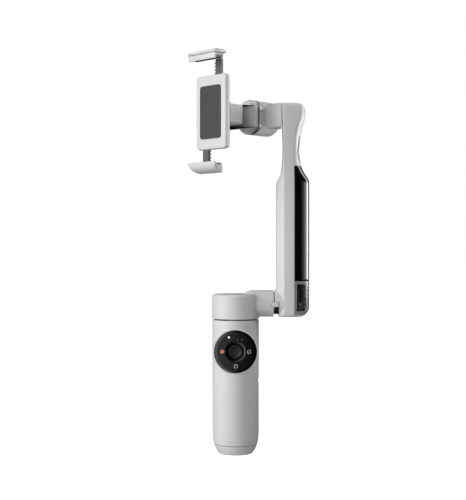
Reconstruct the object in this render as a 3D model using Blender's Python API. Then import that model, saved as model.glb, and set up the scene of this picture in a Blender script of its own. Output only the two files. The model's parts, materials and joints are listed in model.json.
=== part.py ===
"""A folding three-axis phone stabilizer: a round handle with a telescopic rod and a pull-out tripod,
a pan head, a folding arm, roll and tilt motors, and a sprung phone clamp with rack and pinion.

Lengths in this file are millimetres. to_object() scales them to metres. +Z is up, the control disc
faces -Y, the fold hinge lies along X, and the clamp stands turned by CLAMP_YAW about the pan axis.
"""

import math

import bmesh
import bpy
import numpy as np
from mathutils import Matrix, Vector

TO_METRES = 0.001
GAP = 0.3  # running clearance between neighbouring pieces
ROUND = 36  # segments of a turned piece
SMOOTH = 48  # segments of a large visible round

# Handle
HANDLE_R = 18.0
HANDLE_WALL_R = 16.2
FOOT_TOP = 7.3
SHELL_LOW = 7.7
HANDLE_TOP = 103.0
DISC_Z = 79.7
DISC_R = 15.95
BOSS_R = 16.9
BOSS_FRONT = 18.5
STICK_HOLE_R = 6.2
LEG_TOP = 46.0
TRIGGER_LOW, TRIGGER_HIGH = 70.0, 92.0
TRIGGER_HALF = 7.0
TRIGGER_PIN_Y, TRIGGER_PIN_Z = 14.7, 89.5

# Telescopic rod: outer and inner radius of each tube
ROD_TUBES = ((7.0, 6.3), (6.0, 5.3), (5.0, 4.3), (4.0, 3.0))
ROD_LOW = 13.0
ROD_TOP = 103.4

# Pan head and link
HEAD_R = 18.2
HEAD_LOW, HEAD_TOP = 103.8, 122.9
MOTOR_R = 16.4
MOTOR_TOP = 109.6
STATOR_POLES = 9
LINK_Z = 115.5
LINK_R = 10.3
LINK_END = 29.3
HUB_START = 29.9
GROOVE_R = 8.4
TAB_LOW, TAB_HIGH = 172.0, 193.6  # degrees about the fold axis, 180 faces the front
FOLD_TURN = 180.0
TAB_PLAY = 1.4  # degrees of groove left free at either end of the tab
TAB_START, TAB_END = 27.8, 33.0
STOP_GROOVE_END = 33.4

# Arm
ARM_LOW, ARM_TOP = 105.2, 269.4
ARM_CORNER = 8.0
ARM_DEPTH = 10.3
ARM_LEFT = ((105.2, 31.6), (209.0, 31.6), (216.6, 35.5), (269.4, 35.5))
ARM_RIGHT = (
    (113.2, 56.7), (210.0, 56.7), (216.6, 54.0), (220.8, 52.1), (225.0, 50.5), (230.5, 49.3),
    (237.0, 49.0), (244.0, 49.3), (250.0, 50.9), (255.4, 52.6), (259.4, 53.7), (262.6, 53.7),
    (265.2, 52.9), (267.4, 51.3), (268.8, 49.4), (269.4, 47.2),
)
FACE_LEFT = 36.9
FACE_RIGHT = ((105.2, 44.6), (240.0, 44.6), (245.6, 45.6), (254.0, 47.3), (262.0, 49.3), (269.4, 50.5))
FLANK_Y = -1.0
FLANK_START = math.radians(15)
WINDOW_TOP = 132.4
POCKET_HEIGHTS = (109.8, 130.5)  # the hollow behind the window
POCKET_SHARES = (0.12, 0.72)  # where it starts and ends across the flank
BRACKET_SIDE = 48.6
PANEL_TOP = 220.8
TRIM_TOP = 243.8

# Roll and tilt
CLAMP_YAW = math.radians(45)
ROLL_Z = 260.5
ROLL_R = 13.5
TILT_N = 9.0
TILT_R = 9.5

# Clamp
CLAMP_L = 1.3
PHONE_HALF = 39.0
JAW_HALF = 15.2
PINION_PITCH_R = 3.2
PINION_TEETH = 8
TOOTH = 0.55  # half height of a tooth
BASE_HALF = 28.0

# The exact solver leaves slits in these two, where round surfaces meet almost tangentially.
NEAR_TANGENT = ("handle_shell", "pan_head")

UP = Vector((0, 0, 1))
FORWARD = Vector((-math.sin(CLAMP_YAW), -math.cos(CLAMP_YAW), 0))
ALONG = Vector((math.cos(CLAMP_YAW), -math.sin(CLAMP_YAW), 0))


def frame(x, y, z, origin=(0, 0, 0)):
    """The matrix whose columns are the directions x, y and z."""
    return Matrix.Translation(origin) @ Matrix((x, y, z)).transposed().to_4x4()


WORLD = Matrix()
LINK = frame(Vector((0, 1, 0)), UP, Vector((1, 0, 0)), (0, 0, LINK_Z))
FRONT = frame(Vector((1, 0, 0)), UP, Vector((0, -1, 0)), (0, 0, DISC_Z))
ROLL = frame(ALONG, UP, FORWARD, (0, 0, ROLL_Z))
TILT = frame(UP, FORWARD, ALONG, Vector((0, 0, ROLL_Z)) + TILT_N * FORWARD)
CLAMP = frame(ALONG, UP, FORWARD, Vector((0, 0, ROLL_Z)) + CLAMP_L * ALONG)


# ---------------------------------------------------------------- shapes


def loft(loops):
    """A closed solid through loops that have the same number of points."""
    bm = bmesh.new()
    rings = [[bm.verts.new(point) for point in loop] for loop in loops]
    count = len(rings[0])
    for low, high in zip(rings, rings[1:]):
        for i in range(count):
            j = (i + 1) % count
            bm.faces.new((low[i], low[j], high[j], high[i]))
    bm.faces.new(rings[0][::-1])
    bm.faces.new(rings[-1])
    bmesh.ops.recalc_face_normals(bm, faces=bm.faces)
    return bm


def prism(outline, low, high):
    return loft([[(x, y, z) for x, y in outline] for z in (low, high)])


def turned(profile, segments=ROUND):
    """A solid of revolution about Z from a closed (radius, height) outline. Radius 0 is a pole."""
    bm = bmesh.new()
    rings = []
    for radius, height in profile:
        if radius == 0:
            rings.append([bm.verts.new((0, 0, height))] * segments)
            continue
        angles = [2 * math.pi * i / segments for i in range(segments)]
        rings.append([bm.verts.new((radius * math.cos(a), radius * math.sin(a), height)) for a in angles])
    for low, high in zip(rings, rings[1:] + rings[:1]):
        for i in range(segments):
            j = (i + 1) % segments
            corners = list(dict.fromkeys((low[i], low[j], high[j], high[i])))
            if len(corners) > 2:
                bm.faces.new(corners)
    bmesh.ops.recalc_face_normals(bm, faces=bm.faces)
    return bm


def ring(inner, outer, low, high, segments=ROUND):
    return turned(((inner, low), (outer, low), (outer, high), (inner, high)), segments)


def disc(radius, low, high, segments=ROUND, edge=0.0):
    """A round plate, with its high edge rounded by edge."""
    if not edge:
        return turned(((0, low), (radius, low), (radius, high), (0, high)), segments)
    arc = [
        (radius - edge + edge * math.cos(a), high - edge + edge * math.sin(a))
        for a in (0, math.pi / 6, math.pi / 3, math.pi / 2)
    ]
    return turned([(0, low), (radius, low), *arc, (0, high)], segments)


def box(x, y, z, edge=0.0):
    """A block between the pairs x, y and z, with all its edges bevelled by edge."""
    bm = bmesh.new()
    size = [pair[1] - pair[0] for pair in (x, y, z)]
    middle = [(pair[0] + pair[1]) / 2 for pair in (x, y, z)]
    bmesh.ops.create_cube(bm, size=1, matrix=Matrix.Translation(middle) @ Matrix.Diagonal((*size, 1)))
    if edge:
        bmesh.ops.bevel(bm, geom=bm.edges[:], offset=edge, segments=2, profile=0.5, affect="EDGES")
    return bm


def sector(inner, outer, start, end, low, high, steps=16):
    """Part of a ring between two angles in degrees."""
    angles = [math.radians(start + (end - start) * i / steps) for i in range(steps + 1)]
    outline = [(outer * math.cos(a), outer * math.sin(a)) for a in angles]
    outline += [(inner * math.cos(a), inner * math.sin(a)) for a in reversed(angles)]
    return prism(outline, low, high)


# ---------------------------------------------------------------- objects


def material(name, colour, roughness, metallic=0.0):
    made = bpy.data.materials.new(name)
    made.use_nodes = True
    shader = made.node_tree.nodes["Principled BSDF"]
    shader.inputs["Base Color"].default_value = (*colour, 1)
    shader.inputs["Roughness"].default_value = roughness
    shader.inputs["Metallic"].default_value = metallic
    return made


def to_object(name, bm, finish, place=WORLD, pivot=(0, 0, 0)):
    """The mesh as a named object in metres, with its origin at pivot."""
    pivot = Vector(pivot)
    bm.transform(place)
    bm.transform(Matrix.Translation(-pivot))
    bm.transform(Matrix.Scale(TO_METRES, 4))
    mesh = bpy.data.meshes.new(name)
    bm.to_mesh(mesh)
    bm.free()
    mesh.shade_smooth()
    mesh.set_sharp_from_angle(angle=math.radians(32))
    made = bpy.data.objects.new(name, mesh)
    made.location = pivot * TO_METRES
    bpy.context.scene.collection.objects.link(made)
    if finish:
        made.data.materials.append(finish)
    return made


def combine(target, bm, operation, place=WORLD):
    """Cuts bm from target, or joins it to target, with a hidden helper."""
    helper = to_object(f"{target.name}_helper", bm, None, place)
    helper.hide_render = True
    helper.display_type = "WIRE"
    modifier = target.modifiers.new("shape", "BOOLEAN")
    modifier.operation = operation
    modifier.solver = "MANIFOLD" if target.name in NEAR_TANGENT else "EXACT"
    modifier.object = helper


def cut(target, bm, place=WORLD):
    combine(target, bm, "DIFFERENCE", place)


def join(target, bm, place=WORLD):
    combine(target, bm, "UNION", place)


# ---------------------------------------------------------------- handle


def handle_profile(low):
    """(radius, height) down the tapering foot of the handle's outside, from the height low up."""
    points = ((12.9, 0.0), (15.1, 2.9), (16.4, 6.3), (17.3, 9.7), (17.8, 14.0), (HANDLE_R, 20.0))
    radii, heights = zip(*points)
    start = (float(np.interp(low, heights, radii)), low)
    return [start] + [point for point in points if point[1] > low]


def handle_shell(finish):
    outer = handle_profile(SHELL_LOW)
    top = [(HANDLE_R, HANDLE_TOP - 0.6), (HANDLE_R - 0.6, HANDLE_TOP)]
    inner = [(HANDLE_WALL_R, HANDLE_TOP), (HANDLE_WALL_R, 12.0), (15.2, SHELL_LOW)]
    shell = to_object("handle_shell", turned(outer + top + inner, SMOOTH), finish)
    join(shell, ring(DISC_R - 2.2, BOSS_R, 5.0, BOSS_FRONT, SMOOTH), FRONT)
    cut(shell, disc(DISC_R + GAP, 16.6, 25.0, SMOOTH), FRONT)
    cut(shell, disc(DISC_R - 2.0, 4.0, 25.0, SMOOTH), FRONT)
    cut(shell, disc(ROD_TUBES[0][0] + 1.0, 40.0, 101.0))
    half, low, high = TRIGGER_HALF + GAP, TRIGGER_LOW - 0.9, TRIGGER_HIGH + GAP
    cut(shell, box((-half, half), (10.0, 25.0), (low, high)))
    cut(shell, disc(1.1, -8.1, 8.1, 16), frame(-UP, Vector((0, 1, 0)), Vector((1, 0, 0)), pin_centre()))
    cut(shell, box((14.0, 20.0), (-4.8, 4.8), (54.6, 58.0), 1.4))


def handle_inside(plastic, board, metal, cell):
    to_object("handle_top_cap", ring(6.3, HANDLE_WALL_R - GAP, 100.6, 102.7), plastic)
    to_object("rod_outer_tube", ring(ROD_TUBES[0][1], ROD_TUBES[0][0], 9.0, 100.3, 32), metal)
    to_object("battery_pack", sector(7.6, 13.0, 35, 145, 49.5, 99.0, 12), cell)
    to_object("main_board", box((8.2, 9.6), (-4.6, 5.0), (50.0, 98.0)), board)
    port = to_object("usb_port", box((10.5, 17.4), (-4.4, 4.4), (55.0, 57.6), 1.2), metal)
    cut(port, box((12.0, 18.0), (-4.05, 4.05), (55.35, 57.25), 0.9))
    join(port, box((11.6, 16.9), (-3.3, 3.3), (56.0, 56.6), 0.1))
    to_object("tripod_guide_ring", ring(7.5, 15.7, 47.2, 49.0, 32), plastic)
    to_object("trigger_switch", box((-2.5, 2.5), (13.3, 14.1), (71.0, 75.0)), plastic)


def pin_centre():
    return (0, TRIGGER_PIN_Y, TRIGGER_PIN_Z)


def trigger(finish, metal):
    place = frame(-UP, Vector((0, 1, 0)), Vector((1, 0, 0)), pin_centre())
    bm = sector(16.4, 20.6, 70.5, 109.5, TRIGGER_LOW, TRIGGER_HIGH - 3.0, 8)
    bmesh.ops.bevel(
        bm,
        geom=[e for e in bm.edges if e.is_boundary is False and e.calc_face_angle(0) > 0.9],
        offset=0.9,
        segments=2,
        affect="EDGES",
    )
    lever = to_object("trigger", bm, finish, pivot=pin_centre())
    join(lever, box((-4.5, 4.5), (14.0, 17.5), (84.0, 91.2), 0.4))
    cut(lever, disc(1.1, -9.0, 9.0, 16), place)
    to_object("trigger_pin", disc(0.8, -7.8, 7.8, 12), metal, place)


def control_disc(gloss, rubber, plastic, board):
    middle = (0, -15.6, DISC_Z)
    ring_bm = ring(8.4, 11.6, 15.4, 15.9, 32)
    to_object("panel_rocker_ring", ring_bm, plastic, FRONT, middle)
    rim = ((STICK_HOLE_R, 17.0), (DISC_R, 17.0), (DISC_R, 18.3), (DISC_R - 0.5, 18.7), (STICK_HOLE_R, 18.7))
    to_object("control_panel", turned(rim, SMOOTH), gloss, FRONT, middle)
    to_object("control_board", disc(12.5, 11.9, 12.9, 32), board, FRONT)
    to_object("joystick_module", box((-4.5, 4.5), (-4.5, 4.5), (8.6, 11.6)), plastic, FRONT)
    to_object("joystick_yoke", ring(2.6, 4.4, 14.0, 15.0, 24), plastic, FRONT, (0, -14.5, DISC_Z))
    cap = ((0, 14.4), (1.6, 14.4), (1.6, 17.2), (4.6, 18.4), (5.0, 19.3), (4.7, 20.0), (3.2, 19.9), (0, 19.3))
    to_object("joystick_cap", turned(cap, 32), rubber, FRONT, (0, -14.5, DISC_Z))


def tripod(finish, plastic):
    """Three legs whose feet make the handle's round foot, hung on a hub that slides in the handle."""
    to_object("tripod_hub", ring(7.5, 14.6, LEG_TOP - 4.0, LEG_TOP, 32), plastic)
    profile = ((12.4, 0.0), (12.9, 0.3), (15.1, 2.9), (16.4, 6.3), (16.6, FOOT_TOP))
    for number, inner in enumerate((-1.5, 2.6, 2.6)):
        start = 90 + 120 * number
        middle = start + 60
        loops = [foot_loop(radius, height, inner, start + 0.8, start + 119.2) for radius, height in profile]
        leg = to_object(f"tripod_leg_{number + 1}", loft(loops), finish)
        join(leg, sector(8.0, 13.6, middle - 38, middle + 38, 5.0, LEG_TOP - 4.4, 8))


def foot_loop(radius, height, inner, start, end, steps=12):
    """A third of a disc. Its point is at inner from the axis, and one foot's point passes the axis."""
    angles = [math.radians(start + (end - start) * i / steps) for i in range(steps + 1)]
    loop = [(radius * math.cos(a), radius * math.sin(a), height) for a in angles]
    half = math.radians((start + end) / 2)
    return loop + [(inner * math.cos(half), inner * math.sin(half), height)]


def rod_stages(finish):
    for number, (outer, inner) in enumerate(ROD_TUBES[1:], 1):
        top = ROD_TOP + (0.3 if number == 3 else 0.0)
        to_object(f"rod_stage_{number}", ring(inner, outer, ROD_LOW, top, 32), finish)


# ---------------------------------------------------------------- pan head


def pan_motor(plastic, metal, copper):
    to_object("pan_base", disc(MOTOR_R - 0.4, 104.1, 105.2), plastic)
    stator("pan_stator", copper, 4.2, 10.8, 105.5, 108.9)
    to_object("pan_rotor", ring(11.4, MOTOR_R - 0.5, 105.6, 109.3), metal)


def stator(name, finish, bore, outer, low, high, place=WORLD):
    """A motor core: a ring with a bore that carries T-shaped poles."""
    pitch = 2 * math.pi / STATOR_POLES
    outline = []
    root = bore + 0.35 * (outer - bore)
    for i in range(STATOR_POLES):
        for share, radius in ((0.0, root), (0.27, root), (0.34, outer - 1.0), (0.08, outer - 0.7),
                              (0.14, outer), (0.5, outer + 0.05), (0.86, outer), (0.92, outer - 0.7),
                              (0.66, outer - 1.0), (0.73, root)):
            angle = (i + share) * pitch
            outline.append((radius * math.cos(angle), radius * math.sin(angle)))
    core = to_object(name, prism(outline, low, high), finish, place)
    cut(core, disc(bore, low - 1.0, high + 1.0, 24), place)


def pan_head(finish, metal):
    rounded = [(HEAD_R - 2.5 + 2.5 * math.cos(a), HEAD_TOP - 2.5 + 2.5 * math.sin(a))
               for a in (0, math.pi / 8, math.pi / 4, 3 * math.pi / 8, math.pi / 2)]
    outline = [(0, HEAD_LOW), (HEAD_R - 0.5, HEAD_LOW), (HEAD_R, HEAD_LOW + 0.5), *rounded, (0, HEAD_TOP)]
    head = to_object("pan_head", turned(outline, SMOOTH), finish)
    tube = ((0, 4.0), (5.0, 5.5), (7.4, 8.0), (9.0, 9.8), (9.9, 11.8), (LINK_R, 14.0),
            (LINK_R, LINK_END - 0.3), (LINK_R - 0.3, LINK_END), (0, LINK_END))
    join(head, turned(tube), LINK)
    cut(head, disc(MOTOR_R, 100.0, MOTOR_TOP))
    cut(head, disc(5.4, 10.0, 32.0, 32), LINK)
    cut(head, sector(GROOVE_R, 12.0, TAB_LOW - TAB_PLAY, TAB_HIGH + TAB_PLAY, TAB_START - GAP, 32.0, 6), LINK)
    to_object("fold_bush", ring(3.4, 5.1, 15.5, 24.0, 24), metal, LINK)


def fold_stop_tab(finish):
    bm = sector(GROOVE_R + GAP, LINK_R + 0.15, TAB_LOW, TAB_HIGH, TAB_START, TAB_END, 4)
    to_object("fold_stop_tab", bm, finish, LINK)


# ---------------------------------------------------------------- arm


def arm_left(z):
    return float(np.interp(z, *zip(*ARM_LEFT)))


def arm_right(z):
    if z < ARM_LOW + ARM_CORNER:
        drop = ARM_LOW + ARM_CORNER - z
        return ARM_RIGHT[0][1] - ARM_CORNER + math.sqrt(max(0.0, ARM_CORNER**2 - drop**2))
    return float(np.interp(z, *zip(*ARM_RIGHT)))


def face_right(z):
    return min(float(np.interp(z, *zip(*FACE_RIGHT))), arm_right(z) - 0.4)


def arm_depth(z):
    """Half the arm's depth, with its lower and upper ends rounded."""
    for start, radius, sign in ((ARM_LOW + 3.0, 3.0, -1), (ARM_TOP - 4.3, 4.3, 1)):
        past = sign * (z - start)
        if past > 0:
            return ARM_DEPTH - radius + math.sqrt(max(0.0, radius**2 - min(past, radius - 0.1) ** 2))
    return ARM_DEPTH


def flank(z, t, outward=0.0):
    """A point of the arm's curved right flank: t runs from the front face, 0, to the side, 1."""
    angle = FLANK_START + t * (math.pi / 2 - FLANK_START)
    start, width, front = face_right(z), arm_right(z) - face_right(z), -arm_depth(z)
    depth = FLANK_Y - front
    across = (math.sin(angle) - math.sin(FLANK_START)) / (1 - math.sin(FLANK_START))
    back = (math.cos(FLANK_START) - math.cos(angle)) / math.cos(FLANK_START)
    normal = Vector((depth * math.sin(angle), -width * math.cos(angle), 0)).normalized()
    return Vector((start + width * across, front + depth * back, z)) + outward * normal


def arm_section(z):
    front, left, right, radius = -arm_depth(z), arm_left(z), arm_right(z), 3.0
    chamfer = FACE_LEFT - left
    back = -front - radius
    loop = [(FACE_LEFT, front, z)] + [tuple(flank(z, t / 8)) for t in range(9)]
    for centre, start in ((right - radius, 0), (left + radius, 90)):
        for step in range(5):
            angle = math.radians(start + 22.5 * step)
            loop.append((centre + radius * math.cos(angle), back + radius * math.sin(angle), z))
    return loop + [(left, front + chamfer, z)]


def strip(levels, start, end, inner, outer, steps=8):
    """A solid that follows the flank between t = start and end, from inner below it to outer above."""
    loops = []
    for z in levels:
        shares = [start + (end - start) * i / steps for i in range(steps + 1)]
        loop = [flank(z, t, outer) for t in shares] + [flank(z, t, -inner) for t in reversed(shares)]
        loops.append([tuple(point) for point in loop])
    return loft(loops)


def arm_levels(low, high):
    """Heights at which the arm's outline is sampled, closer together where it curves."""
    corner = [ARM_LOW + ARM_CORNER * (1 - math.cos(math.radians(a))) for a in (0, 20, 35, 50, 65, 78, 90)]
    straight = [128.0, 150.0, 180.0, 209.0]
    curved = [z for z, _ in ARM_RIGHT if z > 209.0]
    inside = [z for z in corner + straight + curved + [247.0, 268.0] if low < z < high]
    return sorted({low, *inside, high})


def cavity_loop(z, side, back):
    loop = [(max(FACE_LEFT + 0.5, arm_left(z) + side), -arm_depth(108.5) + 2.4, z)]
    loop += [tuple(flank(z, t / 10, -3.0)) for t in (1, 3, 5, 7, 9)]
    right, left = arm_right(z) - side, arm_left(z) + side
    loop[1:] = [(min(x, right), y, z) for x, y, z in loop[1:]]
    return loop + [(right, FLANK_Y + 1, z), (right, back, z), (left, back, z), (left, -3.0, z)]


def cover_loops(low, high, side, front, back):
    return [
        [(arm_left(z) + side, front, z), (arm_right(z) - side, front, z),
         (arm_right(z) - side, back, z), (arm_left(z) + side, back, z)]
        for z in arm_levels(low, high)
    ]


def arm_frame(finish):
    arm = to_object("arm_frame", loft([arm_section(z) for z in arm_levels(ARM_LOW, ARM_TOP)]), finish,
                    pivot=(HUB_START, 0, LINK_Z))
    join(arm, disc(LINK_R, HUB_START, 38.0), LINK)
    cut(arm, loft([cavity_loop(z, 4.4, 9.0) for z in arm_levels(109.5, 232.0)]))
    cut(arm, loft(cover_loops(108.4, 234.0, 3.1, 8.3, 12.0)))
    cut(arm, strip(arm_levels(106.9, PANEL_TOP + GAP), 0.01, 0.93, 1.6, 2.5))
    cut(arm, strip(arm_levels(*POCKET_HEIGHTS), *POCKET_SHARES, 7.0, 2.5))
    cut(arm, strip(arm_levels(106.0, TRIM_TOP + GAP), 0.955, 1.12, 0.9, 1.5, 2))
    groove_end = TAB_HIGH + FOLD_TURN + TAB_PLAY
    cut(arm, sector(GROOVE_R, 13.5, TAB_LOW - TAB_PLAY, groove_end, 29.0, STOP_GROOVE_END, 40), LINK)
    cut(arm, disc(3.4, 28.0, 41.0, 24), LINK)


def arm_covers(finish, gloss, clear, dark):
    to_object("arm_rear_cover", loft(cover_loops(108.8, 233.6, 3.5, 8.7, ARM_DEPTH)), finish)
    levels = arm_levels(WINDOW_TOP + 0.4, PANEL_TOP)
    to_object("arm_side_panel", strip(levels, 0.035, 0.905, 1.2, 0.0), gloss)
    to_object("arm_window", strip(arm_levels(107.3, WINDOW_TOP), 0.035, 0.905, 1.2, 0.0), clear)
    to_object("arm_trim", strip(arm_levels(106.4, TRIM_TOP), 0.965, 1.1, 0.5, 0.15, 2), dark)


def fold_hinge(metal, dark):
    shaft = [(0, 11.0), (2.2, 11.0), (3.0, 11.8), (3.0, 24.6), (4.9, 24.6), (4.9, 27.6), (3.0, 27.6),
             (3.0, 40.5), (0, 40.5)]
    to_object("fold_shaft", turned(shaft, 32), metal, LINK)
    to_object("fold_nut", ring(3.4, 4.9, 12.0, 15.0, 12), metal, LINK)
    to_object("hinge_bracket", box((41.0, BRACKET_SIDE), (-5.5, 5.5), (110.2, 128.0), 0.8), dark)
    place = Vector((math.cos(math.radians(35)), -math.sin(math.radians(35)), 0))
    aim = frame(UP, place.cross(UP), place)
    for number, (y, z) in enumerate(((-2.2, 114.8), (-0.4, 111.6)), 1):
        head = [(0, 0.0), (0.95, 0.0), (0.95, 0.6), (0.6, 0.9), (0, 0.9)]
        to_object(f"hinge_screw_{number}", turned(head, 12), metal, Matrix.Translation((BRACKET_SIDE + 0.5, y, z)) @ aim)


def arm_electronics(board, cable):
    to_object("motor_driver_board", box((38.5, 51.0), (2.0, 3.4), (140.0, 200.0)), board)
    to_object("arm_flex_cable", box((41.0, 44.2), (5.0, 5.4), (130.0, 231.0)), cable)


# ---------------------------------------------------------------- roll and tilt


def roll_motor(finish, copper, metal):
    cup = ((0, -38.0), (ROLL_R - 1.5, -38.0), (ROLL_R - 0.4, -37.6), (ROLL_R, -36.5), (ROLL_R, -18.0),
           (ROLL_R - 1.5, -18.0), (ROLL_R - 1.5, -35.5), (0, -35.5))
    housing = to_object("roll_motor_housing", turned(cup), finish, ROLL)
    join(housing, box((ROLL_R - 1.2, 36.0), (-9.5, 9.5), (-32.0, -19.0), 2.4), ROLL)
    cut(housing, box((35.5 - GAP, 80.0), (-60.0, 60.0), (230.0, 290.0)))
    stator("roll_stator", copper, 3.0, 9.8, -34.0, -22.0, ROLL)
    rotor = [(0, -34.6), (2.0, -34.6), (2.0, -18.9), (10.2, -18.9), (10.2, -33.5), (11.5, -33.5),
             (11.5, -17.7), (ROLL_R, -17.7), (ROLL_R, -15.0), (ROLL_R - 0.5, -14.5), (0, -14.5)]
    to_object("roll_rotor", turned(rotor), metal, ROLL, (0, 0, ROLL_Z))


def roll_arm(finish):
    outline = ((-27.0, -11.0), (-24.0, -14.2), (11.0, -14.2), (11.0, -10.6), (-20.5, -10.6),
               (-24.3, -7.0), (-24.3, 16.5), (-27.0, 16.5))
    bm = loft([[(l, h, n) for l, n in outline] for h in (-8.6, 8.6)])
    arm = to_object("roll_arm", bm, finish, ROLL, (0, 0, ROLL_Z))
    edge = arm.modifiers.new("edges", "BEVEL")
    edge.width = 0.8 * TO_METRES
    edge.segments = 2
    edge.limit_method = "ANGLE"


def tilt_motor(finish, copper, metal):
    cup = ((0, -24.0), (TILT_R - 1.0, -24.0), (TILT_R, -23.0), (TILT_R, -8.6), (TILT_R - 1.2, -8.6),
           (TILT_R - 1.2, -22.6), (0, -22.6))
    to_object("tilt_motor_housing", turned(cup, 40), finish, TILT)
    stator("tilt_stator", copper, 2.2, 6.6, -22.0, -12.0, TILT)
    rotor = [(0, -22.3), (1.5, -22.3), (1.5, -9.6), (6.95, -9.6), (6.95, -21.5), (8.0, -21.5),
             (8.0, -8.3), (TILT_R, -8.3), (TILT_R, -5.9), (TILT_R - 0.4, -5.5), (0, -5.5)]
    to_object("tilt_rotor", turned(rotor, 40), metal, TILT, Vector((0, 0, ROLL_Z)) + TILT_N * FORWARD)


# ---------------------------------------------------------------- clamp


def clamp_body(finish, rubber, metal):
    mount = to_object("clamp_mount", box((-6.5, 8.0), (-7.5, 7.5), (1.5, 19.6), 1.2), finish, CLAMP)
    join(mount, disc(14.5, 19.0, 21.2, ROUND, 0.5), CLAMP)
    to_object("magnet_disc", disc(12.0, 21.5, 22.6, 40), metal, CLAMP)
    base = to_object("clamp_base", box((-16.0, 16.0), (-BASE_HALF, BASE_HALF), (22.9, 27.9), 1.2), finish, CLAMP)
    cut(base, box((-10.3, 10.3), (-BASE_HALF - 2, BASE_HALF + 2), (24.2, 26.9)), CLAMP)
    join(base, disc(1.1, 23.8, 27.2, 16), CLAMP)
    to_object("clamp_back_pad", box((-11.0, 11.0), (-20.0, 20.0), (28.2, 28.8), 0.2), rubber, CLAMP)


def gear_outline():
    """The pinion's outline: straight-sided teeth, thin enough to leave backlash."""
    pitch = 2 * math.pi / PINION_TEETH
    points = []
    for i in range(PINION_TEETH):
        for share, radius in ((-0.24, -TOOTH), (-0.10, TOOTH), (0.10, TOOTH), (0.24, -TOOTH)):
            angle = (i + share) * pitch
            points.append(((PINION_PITCH_R + radius) * math.cos(angle),
                           (PINION_PITCH_R + radius) * math.sin(angle)))
    return points


def rack_outline(low, high, sign):
    """A rack on the side sign of the pinion, between two heights. A gap between teeth is at height 0."""
    pitch = 2 * math.pi * PINION_PITCH_R / PINION_TEETH
    points = [(9.9, low), (9.9, high)]
    steps = range(int(math.ceil(low / pitch - 0.5)) + 1, int(high / pitch - 0.5))
    for i in reversed(steps):
        middle = (i + 0.5) * pitch
        for share, reach in ((0.24, TOOTH), (0.10, -TOOTH), (-0.10, -TOOTH), (-0.24, TOOTH)):
            points.append((PINION_PITCH_R + 0.1 + reach, middle + share * pitch))
    first = PINION_PITCH_R + 0.1 + TOOTH
    points = [points[0], points[1], (first, high), *points[2:], (first, low)]
    return [(sign * x, y) for x, y in points]


def jaw_drive(plastic, metal):
    to_object("upper_rack", prism(rack_outline(-9.0, PHONE_HALF + 0.6, 1), 24.5, 26.6), plastic, CLAMP)
    to_object("lower_rack", prism(rack_outline(-PHONE_HALF - 0.6, 9.0, -1), 24.5, 26.6), plastic, CLAMP)
    centre = Vector((0, 0, ROLL_Z)) + CLAMP_L * ALONG
    pinion = to_object("jaw_pinion", prism(gear_outline(), 24.5, 26.6), metal, CLAMP, centre)
    cut(pinion, disc(1.4, 20.0, 30.0, 16), CLAMP)


def jaw_bar(section, side, half, narrowing=0.0):
    """A bar along the clamp. section holds (forward, away from the phone's edge) points."""
    loops = []
    for end in (-1, 1):
        loops.append([
            (end * (half - narrowing * max(0.0, away)), side * (PHONE_HALF + away), forward)
            for forward, away in section
        ])
    return loft(loops)


def upper_jaw(finish, rubber):
    grip = ((28.6, 1.5), (36.3, 1.5), (36.5, -0.9), (37.3, -0.9), (37.7, 0.0), (37.7, 3.2), (28.6, 3.2))
    jaw = to_object("upper_jaw", jaw_bar(grip, 1, JAW_HALF - 0.6), finish, CLAMP)
    join(jaw, box((2.5, 9.5), (PHONE_HALF + 1.6, PHONE_HALF + 3.2), (26.9, 30.0)), CLAMP)
    shell = ((26.4, 3.5), (36.6, 3.5), (37.9, 4.1), (38.1, 4.9), (37.4, 5.8), (36.0, 6.2), (27.6, 6.2),
             (26.4, 5.3))
    to_object("upper_jaw_cover", jaw_bar(shell, 1, JAW_HALF), finish, CLAMP)
    pad = ((28.9, 0.1), (36.1, 0.1), (36.1, 1.2), (28.9, 1.2))
    to_object("upper_jaw_pad", jaw_bar(pad, 1, JAW_HALF - 1.2), rubber, CLAMP)


def lower_jaw(finish, rubber):
    scoop = ((29.6, 1.5), (36.3, 1.5), (36.5, -0.9), (37.3, -0.9), (37.9, 0.4), (37.6, 2.2), (36.6, 3.9),
             (34.6, 5.5), (31.4, 6.7), (27.6, 7.2), (27.2, 6.8), (28.5, 5.2), (29.3, 3.4))
    jaw = to_object("lower_jaw", jaw_bar(scoop, -1, JAW_HALF, 0.48), finish, CLAMP)
    join(jaw, box((-9.5, -2.5), (-PHONE_HALF - 5.0, -PHONE_HALF - 1.6), (26.9, 32.0)), CLAMP)
    pad = ((29.9, 0.1), (36.1, 0.1), (36.1, 1.2), (29.9, 1.2))
    to_object("lower_jaw_pad", jaw_bar(pad, -1, JAW_HALF - 1.6), rubber, CLAMP)


# ---------------------------------------------------------------- the whole object


def clear_scene():
    for item in list(bpy.data.objects):
        bpy.data.objects.remove(item, do_unlink=True)


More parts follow.
